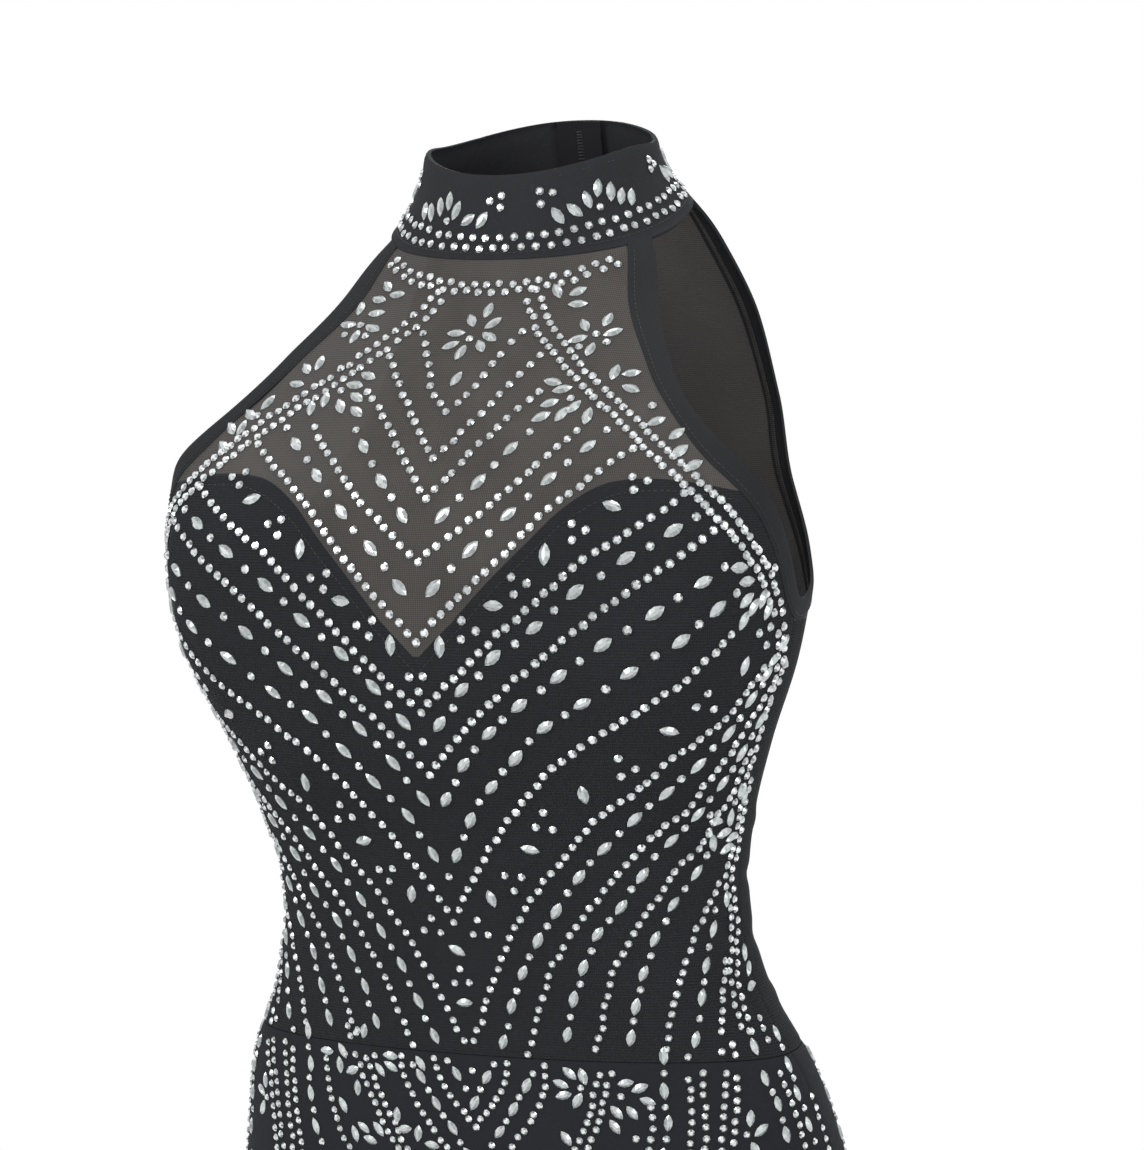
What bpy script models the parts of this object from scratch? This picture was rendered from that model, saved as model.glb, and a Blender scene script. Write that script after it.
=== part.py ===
"""A black evening dress with a stand collar and halter armholes, hollow, in its worn form.

Metres, +Z up. The wearer's front is toward -Y and the wearer's left toward +X. The origin is the
middle of the neck ring, where the wearer holds the dress up.

Every cloth piece is a stretch of one form: a stack of rings round the body. A place on the form
is an angle and a height. The angle is 0 at the centre front, a quarter turn at the side seam and
half a turn at the centre back, plus on the wearer's left and minus on the right. The height is
that of the ring where it crosses the plane y = 0; a ring may slope and dip toward the front.
"""

from collections import namedtuple
from math import pi, radians

import bmesh
import bpy
import numpy as np
from mathutils import Matrix, Vector

# Walls and gaps
NET_WALL = 0.0010
LINING_WALL = 0.0010
SKIRT_WALL = 0.0016
COLLAR_WALL = 0.0020
BINDING_WALL = 0.0016
TAPE_WALL = 0.0010
SEAM_GAP = 0.0003
NECK_GAP = 0.0006
LAYER_GAP = 0.0012
TAPE_GAP = 0.0006

# Places on the form
NECK_SEAM = -0.0130
ARMHOLE_LOW = -0.194
WAIST_SEAM = -0.408
HEM = -1.335
SIDE = pi / 2
CENTRE_BACK = pi

# Collar and binding
BINDING_WIDTH = 0.010
BINDING_TOP_GAP = 0.0010
PROUD = 0.0005

# Bust fullness, worked into the front by its cut
CUP_ANGLE = radians(46)
CUP_SPREAD = radians(21)
CUP_HEIGHT = -0.178
CUP_REACH = 0.058
CUP_DEPTH = 0.014

# Flutes of the flared hem, and how slowly they grow below their top
FLUTES = 8
FLUTE_DEPTH = 0.007
FLUTE_TOP = -0.98
FLUTE_GROWTH = 1.5

BACK_ROUNDNESS = 2.15

# Mesh rows and columns
YOKE_ROWS = 13
WAIST_ROWS = 11
LINING_ROWS = 4
SKIRT_ROWS = 15
FRONT_COLUMNS = 20
BACK_COLUMNS = 9
COLLAR_ROWS = 5
COLLAR_COLUMNS = 36
SKIRT_COLUMNS = 28
EDGE_SHARE = 0.012

# Heights above the binding's lowest edge at which a bodice layer has a row
TURN_ROWS = (0.010, 0.006, 0.003, 0.001, 0.0)

# Samples along a curve, and how the armhole's path is smoothed
RING_SAMPLES = 81
BRANCH_SAMPLES = 60
PATH_SAMPLES = 161
SMOOTHING_PASSES = 14
NORMAL_STEP = 1e-4

# Zip
ZIP_WIDTH = 0.024
TAPE_COLLAR_ROWS = 5
TAPE_BODY_ROWS = 18
TAPE_ROW_STEP = 0.010
SLIDER_WIDTH = 0.0076
SLIDER_LENGTH = 0.0090
SLIDER_PLATE = 0.0018
SLIDER_PLACE = 0.80
EAR_WALL = 0.0010
EAR_LENGTH = 0.0030
EAR_GAP = 0.0040
PIN_RADIUS = 0.0007
PIN_LIFT = 0.0027
EYE_RADIUS = 0.0021
EYE_HOLE = 0.0011
TAB_WIDTH = 0.0048
TAB_LENGTH = 0.0150
TAB_NECK = 0.0033
TAB_LAP = 0.0020
TAB_WALL = 0.0010
TAB_LEAN = radians(11)
ROUND_SIDES = 16

# Sections of the body form. Slope is a ring's rise toward the back for each metre of depth, and
# the dips bend it, with the square of the depth, in front of y = 0 and behind it. Front, middle
# and back are depths (y) at the centre front, at the side seam and at the centre back.
Ring = namedtuple("Ring", "height slope front_dip back_dip half_width front middle back roundness")
RINGS = (
    Ring(-0.0130, 0.416, 1.10, -1.67, 0.072, -0.060, 0.000, 0.060, 2.10),
    Ring(-0.034, 0.320, 0.60, -1.40, 0.102, -0.069, -0.008, 0.066, 2.05),
    Ring(-0.067, 0.200, 0.20, -1.20, 0.142, -0.096, -0.026, 0.069, 2.30),
    Ring(-0.102, 0.100, 0.00, -0.60, 0.163, -0.1175, -0.044, 0.065, 2.60),
    Ring(-0.141, 0.030, 0.00, -0.20, 0.159, -0.135, -0.059, 0.056, 2.40),
    Ring(-0.185, 0.000, 0.00, 0.00, 0.156, -0.1455, -0.067, 0.046, 2.15),
    Ring(-0.220, 0.000, 0.00, 0.00, 0.150, -0.146, -0.070, 0.042, 2.15),
    Ring(-0.260, 0.000, 0.00, 0.00, 0.134, -0.136, -0.059, 0.041, 2.15),
    Ring(-0.300, 0.000, 0.00, 0.00, 0.121, -0.119, -0.047, 0.043, 2.15),
    Ring(-0.340, 0.000, 0.00, 0.00, 0.116, -0.105, -0.036, 0.050, 2.15),
    Ring(-0.380, 0.000, 0.00, 0.00, 0.123, -0.094, -0.028, 0.063, 2.15),
    Ring(-0.420, 0.000, 0.00, 0.00, 0.142, -0.084, -0.018, 0.082, 2.15),
    Ring(-0.460, 0.000, 0.00, 0.00, 0.152, -0.079, -0.005, 0.099, 2.15),
    Ring(-0.520, 0.000, 0.00, 0.00, 0.159, -0.078, 0.006, 0.112, 2.15),
    Ring(-0.620, 0.000, 0.00, 0.00, 0.155, -0.078, 0.010, 0.106, 2.15),
    Ring(-0.800, 0.000, 0.00, 0.00, 0.139, -0.073, 0.012, 0.098, 2.15),
    Ring(-0.980, 0.000, 0.00, 0.00, 0.136, -0.076, 0.012, 0.102, 2.15),
    Ring(-1.150, 0.000, 0.00, 0.00, 0.170, -0.104, 0.010, 0.128, 2.10),
    Ring(-1.335, 0.000, 0.00, 0.00, 0.226, -0.152, 0.008, 0.172, 2.05),
)

# Sections of the stand collar, from its seam to its top edge
COLLAR_RINGS = (
    Ring(-0.0130, 0.416, 1.10, -1.67, 0.072, -0.060, 0.000, 0.060, 2.10),
    Ring(-0.0045, 0.330, -0.80, -0.35, 0.065, -0.058, 0.000, 0.057, 2.10),
    Ring(0.0065, 0.210, -2.70, 2.10, 0.059, -0.056, 0.000, 0.054, 2.10),
    Ring(0.0210, 0.087, -4.28, 4.10, 0.055, -0.053, 0.000, 0.051, 2.10),
)

# The armhole's edge, as angles in degrees on the front and the back of the form
Armhole = namedtuple("Armhole", "height front back")
ARMHOLE = (
    Armhole(-0.013, 66, 122),
    Armhole(-0.034, 50, 133),
    Armhole(-0.067, 40, 140),
    Armhole(-0.102, 42.5, 141),
    Armhole(-0.141, 67, 131),
    Armhole(-0.165, 78, 120),
    Armhole(-0.185, 86, 107),
    Armhole(-0.194, 90, 90),
)

# The lining's sweetheart edge: the share of the way from the centre front to the side, and height
Edge = namedtuple("Edge", "height share")
SWEETHEART = (
    Edge(-0.2180, 0.00),
    Edge(-0.1990, 0.10),
    Edge(-0.1800, 0.20),
    Edge(-0.1635, 0.30),
    Edge(-0.1490, 0.40),
    Edge(-0.1390, 0.50),
    Edge(-0.1325, 0.60),
    Edge(-0.1300, 0.70),
    Edge(-0.1310, 0.85),
    Edge(-0.1370, 1.00),
)

Rows = namedtuple("Rows", "places height")

# Colour, roughness and metallic value of each finish
Finish = namedtuple("Finish", "colour roughness metallic")
FINISHES = {
    "net": Finish((0.030, 0.029, 0.033), 0.75, 0.0),
    "lining": Finish((0.020, 0.020, 0.023), 0.70, 0.0),
    "jersey": Finish((0.022, 0.022, 0.026), 0.65, 0.0),
    "binding": Finish((0.016, 0.016, 0.018), 0.60, 0.0),
    "tape": Finish((0.018, 0.018, 0.020), 0.70, 0.0),
    "zip_metal": Finish((0.030, 0.030, 0.034), 0.35, 1.0),
}


def hermite(knots, values, at):
    """Values on a smooth curve through the knots, which rise."""
    tangents = np.gradient(values, knots)
    at = np.clip(at, knots[0], knots[-1])
    left = np.clip(np.searchsorted(knots, at, side="right") - 1, 0, len(knots) - 2)
    span = knots[left + 1] - knots[left]
    t = (at - knots[left]) / span
    start = (1 + 2 * t) * (1 - t) ** 2 * values[left]
    start += t * (1 - t) ** 2 * span * tangents[left]
    end = t * t * (3 - 2 * t) * values[left + 1]
    end += t * t * (t - 1) * span * tangents[left + 1]
    return start + end


def column(table, name, height):
    """A table's named column at any height between its first row and its last."""
    knots = np.array([abs(row.height - table[0].height) for row in table])
    values = np.array([float(getattr(row, name)) for row in table])
    return hermite(knots, values, np.abs(np.asarray(height, float) - table[0].height))


def ring_point(table, angle, height):
    """Points of the sections in this table, with no bust fullness or flutes."""
    side, ahead = np.sin(angle), np.cos(angle)
    front = ahead > 0
    power = 2 / np.where(front, column(table, "roundness", height), BACK_ROUNDNESS)
    middle = column(table, "middle", height)
    depth = np.where(front, middle - column(table, "front", height),
                     column(table, "back", height) - middle)
    x = column(table, "half_width", height) * np.sign(side) * np.abs(side) ** power
    y = middle - depth * np.sign(ahead) * np.abs(ahead) ** power
    dip = np.where(y < 0, column(table, "front_dip", height), column(table, "back_dip", height))
    z = height + column(table, "slope", height) * y + dip * y * y
    return np.stack(np.broadcast_arrays(x, y, z), axis=-1)


def body_form(angle, height):
    """Points of the dress below the collar."""
    point = ring_point(RINGS, angle, height)
    turn = (np.abs(angle) - CUP_ANGLE) / CUP_SPREAD
    climb = (height - CUP_HEIGHT) / CUP_REACH
    flare = np.clip((FLUTE_TOP - height) / (FLUTE_TOP - HEM), 0, 1)
    out = CUP_DEPTH * np.exp(-turn * turn - climb * climb)
    out = out + FLUTE_DEPTH * flare ** FLUTE_GROWTH * np.cos(FLUTES * angle)
    away = np.stack(np.broadcast_arrays(np.sin(angle), -np.cos(angle), 0 * angle), axis=-1)
    return point + away * np.asarray(out)[..., None]


def collar_form(angle, height):
    """Points of the stand collar."""
    return ring_point(COLLAR_RINGS, angle, height)


def cloth(form, angle, height, out=0.0):
    """Points of a form, moved out along its normal."""
    angle, height = np.broadcast_arrays(np.asarray(angle, float), np.asarray(height, float))
    across = form(angle + NORMAL_STEP, height) - form(angle - NORMAL_STEP, height)
    upward = form(angle, height + NORMAL_STEP) - form(angle, height - NORMAL_STEP)
    normal = np.cross(across, upward)
    normal /= np.linalg.norm(normal, axis=-1, keepdims=True)
    return form(angle, height) + normal * out


def ring_lengths(form, height, start, end):
    """Angles from start to end, and the length of cloth from the start to each."""
    angles = np.linspace(start, end, RING_SAMPLES)
    steps = np.linalg.norm(np.diff(form(angles, height), axis=0), axis=1)
    return angles, np.concatenate(([0.0], np.cumsum(steps)))


def angle_at_share(form, height, start, end, share):
    """The angle at this share of the cloth's length between two angles."""
    angles, lengths = ring_lengths(form, height, start, end)
    return np.interp(share * lengths[-1], lengths, angles)


def angle_from_side(height, distance):
    """The angle at this length of cloth from the side seam, plus toward the back."""
    end = CENTRE_BACK if distance > 0 else 0.0
    angles, lengths = ring_lengths(body_form, height, SIDE, end)
    return np.interp(abs(distance), lengths, angles)


def armhole_path():
    """The armhole's edge from the collar's front to its back, as (distance from side, height)."""
    heights = np.linspace(NECK_SEAM, ARMHOLE_LOW, BRANCH_SAMPLES)
    branches = []
    for name, sign in (("front", -1), ("back", 1)):
        branch = []
        for height in heights:
            angle = radians(float(column(ARMHOLE, name, height)))
            branch.append((sign * ring_lengths(body_form, height, angle, SIDE)[1][-1], height))
        branches.append(np.array(branch))
    path = np.concatenate([branches[0], branches[1][-2::-1]])
    steps = np.linalg.norm(np.diff(path, axis=0), axis=1)
    along = np.concatenate(([0.0], np.cumsum(steps)))
    even = np.linspace(0, along[-1], PATH_SAMPLES)
    path = np.stack([np.interp(even, along, path[:, i]) for i in (0, 1)], axis=1)
    for _ in range(SMOOTHING_PASSES):
        path[1:-1] = (path[:-2] + path[1:-1] + path[2:]) / 3
    return path


def offset_path(path, distance):
    """A path in the cloth's plane moved away from the armhole, its ends kept on the neck seam."""
    tangent = np.gradient(path, axis=0)
    tangent /= np.linalg.norm(tangent, axis=1, keepdims=True)
    away = np.stack([tangent[:, 1], -tangent[:, 0]], axis=1)
    moved = path + away * distance
    moved[:, 1] = np.minimum(moved[:, 1], NECK_SEAM)
    moved[[0, -1], 1] = NECK_SEAM
    return moved


ARMHOLE_EDGE = armhole_path()
BINDING_INNER = offset_path(ARMHOLE_EDGE, BINDING_WIDTH)
PANEL_EDGE = offset_path(ARMHOLE_EDGE, BINDING_WIDTH + SEAM_GAP)
BINDING_LOW = BINDING_INNER[:, 1].min()
PANEL_LOW = PANEL_EDGE[:, 1].min()


def rows_from(top, rows):
    """Row heights of a bodice layer, close together where the armhole turns."""
    curve = BINDING_LOW + np.array(TURN_ROWS)
    above = np.linspace(top, curve[0], rows + 1)[:-1]
    below = np.linspace(PANEL_LOW, WAIST_SEAM + SEAM_GAP / 2, WAIST_ROWS + 1)
    return np.concatenate([above, curve, below])


def bodice_heights():
    """Row heights of the outer bodice."""
    return rows_from(NECK_SEAM - NECK_GAP, YOKE_ROWS)


def panel_limit(height, sign):
    """The angle where the front (sign -1) or the back (sign 1) ends at this height."""
    low = PANEL_EDGE[:, 1].argmin()
    distance = SEAM_GAP / 2
    if height > PANEL_EDGE[low, 1]:
        branch = PANEL_EDGE[: low + 1] if sign < 0 else PANEL_EDGE[low:][::-1]
        found = np.interp(-height, -branch[:, 1], branch[:, 0]) * sign
        distance = max(distance, found)
    return angle_from_side(height, sign * distance)


def collection(name):
    made = bpy.data.collections.new(name)
    bpy.context.scene.collection.children.link(made)
    return made


def finish_material(name, key):
    """A Principled material of one of the finishes."""
    finish = FINISHES[key]
    material = bpy.data.materials.new(name)
    material.use_nodes = True
    shader = material.node_tree.nodes["Principled BSDF"]
    shader.inputs["Base Color"].default_value = (*finish.colour, 1)
    shader.inputs["Roughness"].default_value = finish.roughness
    shader.inputs["Metallic"].default_value = finish.metallic
    return material


def add_object(name, mesh, key, group):
    """An object in the collection, with its own material and smooth shading."""
    obj = bpy.data.objects.new(name, mesh)
    group.objects.link(obj)
    mesh.materials.append(finish_material(name + "_finish", key))
    mesh.shade_smooth()
    return obj


def add_wall(name, points, wall, key, group):
    """A loft through rows of points, given its thickness toward the inside."""
    rows, columns = points.shape[:2]
    faces = [
        (i * columns + j, i * columns + j + 1, (i + 1) * columns + j + 1, (i + 1) * columns + j)
        for i in range(rows - 1)
        for j in range(columns - 1)
    ]
    mesh = bpy.data.meshes.new(name)
    mesh.from_pydata(points.reshape(-1, 3).tolist(), [], faces)
    obj = add_object(name, mesh, key, group)
    solidify = obj.modifiers.new("Wall", "SOLIDIFY")
    solidify.thickness = wall
    solidify.offset = -1
    solidify.use_even_offset = True
    return obj


def panel_points(form, rows, start, end, columns, out):
    """Points of a panel from its start angle to its end angle, low row first.

    Start and end are functions of a height. Rows says where the rows lie: a list of places, and
    a function that gives the height at a place and at a share of the way across.
    """
    inner = np.linspace(EDGE_SHARE, 1 - EDGE_SHARE, columns - 1)
    grid = []
    for place in rows.places:
        row = []
        for share in [0, *inner, 1]:
            height = rows.height(place, share)
            angle = angle_at_share(form, height, start(height), end(height), share)
            row.append((angle, height))
        grid.append(row)
    grid = np.array(grid[::-1])
    return cloth(form, grid[..., 0], grid[..., 1], out)


def level_rows(heights):
    """Level rows at these heights."""
    return Rows(heights, lambda height, share: height)


def lining_rows():
    """Rows of the front lining: level at the side seam, and under its top edge elsewhere."""
    side = rows_from(SWEETHEART[-1].height, LINING_ROWS)
    places = (side - side[0]) / (side[-1] - side[0])
    return Rows(places, lambda place, share: sweetheart_height(share) * (1 - place)
                + side[-1] * place)


def front_left(height):
    return -panel_limit(height, -1)


def front_right(height):
    return panel_limit(height, -1)


def back_side(height):
    return panel_limit(height, 1)


def back_middle(height):
    """The centre back, half a seam gap short of the zip line."""
    angles, lengths = ring_lengths(body_form, height, CENTRE_BACK, SIDE)
    return np.interp(SEAM_GAP / 2, lengths, angles)


def mirrored(points):
    """The wearer's right side from the left, with its columns turned round to face out."""
    return (points * (-1, 1, 1))[:, ::-1]


def sweetheart_height(share):
    """The lining's top edge at this share of the way across the front."""
    shares = np.array([edge.share for edge in SWEETHEART])
    heights = np.array([edge.height for edge in SWEETHEART])
    return float(hermite(shares, heights, abs(2 * share - 1)))


def build_front(group):
    outer = level_rows(bodice_heights())
    points = panel_points(body_form, outer, front_left, front_right, FRONT_COLUMNS, 0)
    add_wall("front_bodice", points, NET_WALL, "net", group)
    out = -NET_WALL - LAYER_GAP
    points = panel_points(body_form, lining_rows(), front_left, front_right, FRONT_COLUMNS, out)
    add_wall("front_lining", points, LINING_WALL, "lining", group)


def build_back(group):
    outer = level_rows(bodice_heights())
    points = panel_points(body_form, outer, back_side, back_middle, BACK_COLUMNS, 0)
    add_wall("back_bodice_left", points, NET_WALL, "net", group)
    add_wall("back_bodice_right", mirrored(points), NET_WALL, "net", group)
    inner = level_rows(rows_from(BINDING_LOW, 0))
    out = -NET_WALL - LAYER_GAP
    points = panel_points(body_form, inner, back_side, back_middle, BACK_COLUMNS, out)
    add_wall("back_lining_left", points, LINING_WALL, "lining", group)
    add_wall("back_lining_right", mirrored(points), LINING_WALL, "lining", group)


def build_bindings(group):
    """The band round each armhole, its stations level with the rows of the bodice."""
    low = BINDING_INNER[:, 1].argmin()
    index = np.arange(len(ARMHOLE_EDGE))
    levels = bodice_heights()
    levels = levels[levels > BINDING_LOW + SEAM_GAP / 2]
    front = np.interp(-levels, -BINDING_INNER[: low + 1, 1], index[: low + 1])
    back = np.interp(-levels, -BINDING_INNER[low:, 1][::-1], index[low:][::-1])
    stations = np.concatenate([front, [low], back[::-1]])
    rows = []
    for share in (0.0, 0.5, 1.0):
        line = ARMHOLE_EDGE * (1 - share) + BINDING_INNER * share
        line = np.stack([np.interp(stations, index, line[:, i]) for i in (0, 1)], axis=1)
        line[:, 1] = np.minimum(line[:, 1], NECK_SEAM - BINDING_TOP_GAP)
        angles = np.array([angle_from_side(height, distance) for distance, height in line])
        rows.append(cloth(body_form, angles, line[:, 1], PROUD))
    points = np.array(rows[::-1])
    add_wall("armhole_binding_left", points, BINDING_WALL, "binding", group)
    add_wall("armhole_binding_right", mirrored(points), BINDING_WALL, "binding", group)


def build_collar(group):
    """The stand collar, open at the centre back along the zip."""
    angles, lengths = ring_lengths(collar_form, NECK_SEAM, CENTRE_BACK, SIDE)
    end = np.interp(SEAM_GAP / 2, lengths, angles)
    rows = level_rows(np.linspace(COLLAR_RINGS[-1].height, NECK_SEAM, COLLAR_ROWS + 1))
    points = panel_points(collar_form, rows, lambda height: -end, lambda height: end,
                          COLLAR_COLUMNS, PROUD)
    add_wall("collar", points, COLLAR_WALL, "jersey", group)


def build_skirt(group):
    rows = level_rows(np.linspace(WAIST_SEAM - SEAM_GAP / 2, HEM, SKIRT_ROWS + 1))
    points = panel_points(body_form, rows, front_left, front_right, SKIRT_COLUMNS, 0)
    add_wall("skirt_front", points, SKIRT_WALL, "jersey", group)

    def right_side(height):
        return 2 * pi - panel_limit(height, 1)

    points = panel_points(body_form, rows, back_side, right_side, SKIRT_COLUMNS, 0)
    add_wall("skirt_back", points, SKIRT_WALL, "jersey", group)


def build_zip_tape(group):
    """The closed zip inside the centre back, from the collar's top to the waist seam."""
    depth = -NET_WALL - LAYER_GAP - LINING_WALL - TAPE_GAP
    rows = []
    collar_heights = np.linspace(COLLAR_RINGS[-1].height, NECK_SEAM, TAPE_COLLAR_ROWS)
    body_heights = np.linspace(NECK_SEAM - TAPE_ROW_STEP, WAIST_SEAM, TAPE_BODY_ROWS)
    for form, heights in ((collar_form, collar_heights), (body_form, body_heights)):
        for height in heights:
            angles, lengths = ring_lengths(form, height, CENTRE_BACK, SIDE)
            edge = np.interp(ZIP_WIDTH / 2, lengths, angles)
            angles = np.array([edge, CENTRE_BACK, 2 * pi - edge])
            rows.append(cloth(form, angles, height, depth))
    add_wall("zip_tape", np.array(rows[::-1]), TAPE_WALL, "tape", group)


def box_mesh(name, size, middle):
    """A box of this size round this middle."""
    mesh = bpy.data.meshes.new(name)
    shape = bmesh.new()
    bmesh.ops.create_cube(shape, size=1)
    bmesh.ops.scale(shape, vec=size, verts=shape.verts)
    bmesh.ops.translate(shape, vec=middle, verts=shape.verts)
    shape.to_mesh(mesh)
    shape.free()
    return mesh


def rod_mesh(name, radius, length, middle):
    """A rod along X."""
    mesh = bpy.data.meshes.new(name)
    shape = bmesh.new()
    bmesh.ops.create_cone(shape, cap_ends=True, segments=ROUND_SIDES, radius1=radius,
                          radius2=radius, depth=length)
    bmesh.ops.rotate(shape, cent=(0, 0, 0), matrix=Matrix.Rotation(SIDE, 3, "Y"),
                     verts=shape.verts)
    bmesh.ops.translate(shape, vec=middle, verts=shape.verts)
    shape.to_mesh(mesh)
    shape.free()
    return mesh


def combine(obj, tools, operation, helpers):
    """Joins hidden shapes to an object, or cuts them from it."""
    for mesh in tools:
        tool = bpy.data.objects.new(mesh.name, mesh)
        helpers.objects.link(tool)
        tool.hide_render = True
        tool.display_type = "WIRE"
        tool.matrix_world = obj.matrix_world
        boolean = obj.modifiers.new(mesh.name, "BOOLEAN")
        boolean.operation = operation
        boolean.object = tool


def build_zip_pull(group, helpers):
    """The slider on the collar's back and the pull tab on its pin.

    Both are made with X across the zip, Y out of the cloth and Z up the cloth. The slider's
    origin is on the cloth, the tab's on the pin. The tab hangs, leaning toward the cloth.
    """
    height = NECK_SEAM + (COLLAR_RINGS[-1].height - NECK_SEAM) * SLIDER_PLACE
    base = cloth(collar_form, CENTRE_BACK, height, PROUD + SEAM_GAP)
    above = cloth(collar_form, CENTRE_BACK, height + NORMAL_STEP, PROUD + SEAM_GAP)
    up = Vector(above - base).normalized()
    out = up.cross(Vector((1, 0, 0)))
    turn = Matrix((Vector((1, 0, 0)), out, up)).transposed().to_4x4()
    place = Matrix.Translation(Vector(base)) @ turn

    plate = box_mesh("zip_slider", (SLIDER_WIDTH, SLIDER_PLATE, SLIDER_LENGTH),
                     (0, SLIDER_PLATE / 2, 0))
    slider = add_object("zip_slider", plate, "zip_metal", group)
    slider.matrix_world = place
    pin_out = SLIDER_PLATE + PIN_LIFT
    ear_height = PIN_LIFT + 2 * PIN_RADIUS + SLIDER_PLATE / 2
    tools = []
    for side, sign in (("left", 1), ("right", -1)):
        middle = (sign * (EAR_GAP + EAR_WALL) / 2, SLIDER_PLATE / 2 + ear_height / 2, 0)
        tools.append(box_mesh("ear_" + side, (EAR_WALL, ear_height, EAR_LENGTH), middle))
    tools.append(rod_mesh("pin", PIN_RADIUS, EAR_GAP + EAR_WALL, (0, pin_out, 0)))
    combine(slider, tools, "UNION", helpers)

    eye_width = EAR_GAP - 2 * SEAM_GAP
    eye = rod_mesh("zip_pull_tab", EYE_RADIUS, eye_width, (0, 0, 0))
    tab = add_object("zip_pull_tab", eye, "zip_metal", group)
    axis = place @ Matrix.Translation((0, pin_out, 0))
    tab.matrix_world = axis @ Matrix.Rotation(-TAB_LEAN, 4, "X")
    neck_length = TAB_NECK + TAB_LAP
    neck = box_mesh("tab_neck", (eye_width, TAB_WALL, neck_length), (0, 0, -neck_length / 2))
    blade_length = TAB_LENGTH - TAB_NECK
    blade = box_mesh("tab_blade", (TAB_WIDTH, TAB_WALL, blade_length),
                     (0, 0, -TAB_NECK - blade_length / 2))
    combine(tab, [neck, blade], "UNION", helpers)
    combine(tab, [rod_mesh("eye_hole", EYE_HOLE, EAR_GAP, (0, 0, 0))], "DIFFERENCE", helpers)


def main():
    for obj in list(bpy.data.objects):
        bpy.data.objects.remove(obj)
    dress = collection("evening_dress")
    helpers = collection("cutters")
    build_collar(dress)
    build_front(dress)
    build_back(dress)
    build_bindings(dress)
    build_skirt(dress)
    build_zip_tape(dress)
    build_zip_pull(dress, helpers)


main()
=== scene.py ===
"""The looks of a black evening dress: net, jersey, lining, stitching, zip and set stones.

Metres, +Z up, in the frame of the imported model. The wearer's front is toward -Y and the wearer's
left toward +X. A place on the cloth is an arc, the length of cloth from the centre front, plus on
the wearer's left, and a height, that of the ring of the form where it crosses the plane y = 0.
"""

from __future__ import annotations

import logging
from dataclasses import dataclass, field
from enum import Enum
from math import cos, pi, radians, sin
from typing import Callable, NamedTuple, Sequence

import bpy
import numpy as np
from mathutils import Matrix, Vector

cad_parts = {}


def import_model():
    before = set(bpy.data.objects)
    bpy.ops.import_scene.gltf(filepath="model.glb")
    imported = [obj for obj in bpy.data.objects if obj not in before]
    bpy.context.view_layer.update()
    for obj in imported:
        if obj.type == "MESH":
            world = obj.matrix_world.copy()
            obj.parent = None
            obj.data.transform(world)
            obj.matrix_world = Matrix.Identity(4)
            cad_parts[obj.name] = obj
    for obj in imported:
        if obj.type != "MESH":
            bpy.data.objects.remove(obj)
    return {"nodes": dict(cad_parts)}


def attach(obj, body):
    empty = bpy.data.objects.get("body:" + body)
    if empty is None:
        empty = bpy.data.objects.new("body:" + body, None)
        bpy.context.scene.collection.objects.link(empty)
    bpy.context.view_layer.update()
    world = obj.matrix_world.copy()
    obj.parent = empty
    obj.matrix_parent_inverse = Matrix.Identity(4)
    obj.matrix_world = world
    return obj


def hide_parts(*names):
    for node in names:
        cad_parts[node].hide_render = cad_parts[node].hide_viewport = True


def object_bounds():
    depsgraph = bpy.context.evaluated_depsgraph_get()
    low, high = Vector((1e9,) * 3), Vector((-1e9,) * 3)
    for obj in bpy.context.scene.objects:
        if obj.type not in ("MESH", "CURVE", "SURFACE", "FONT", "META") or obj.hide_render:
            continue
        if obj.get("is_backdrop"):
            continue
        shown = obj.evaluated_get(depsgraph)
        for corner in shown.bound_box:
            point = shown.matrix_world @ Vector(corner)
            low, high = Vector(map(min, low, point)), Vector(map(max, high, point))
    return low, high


LOG = logging.getLogger("evening_dress")
MM = 0.001
SIDE = pi / 2
CENTRE_BACK = pi
UV_LAYER = "cloth"
NET_MARK = "above_lining"

Colour = tuple[float, float, float]
Place = tuple[float, float]
Petal = tuple[float, float, float]
Array = np.ndarray
Object = bpy.types.Object
Socket = bpy.types.NodeSocket
Node = bpy.types.Node


class Ring(NamedTuple):
    """A section of a form: its height, slope, dips, half width, depths and roundness."""

    height: float
    slope: float
    front_dip: float
    back_dip: float
    half_width: float
    front: float
    middle: float
    back: float
    roundness: float


class Armhole(NamedTuple):
    """The armhole's edge at a height, as angles in degrees on the front and the back."""

    height: float
    front: float
    back: float


class Edge(NamedTuple):
    """The lining's top edge at a share of the way from the centre front to the side."""

    height: float
    share: float


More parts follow.
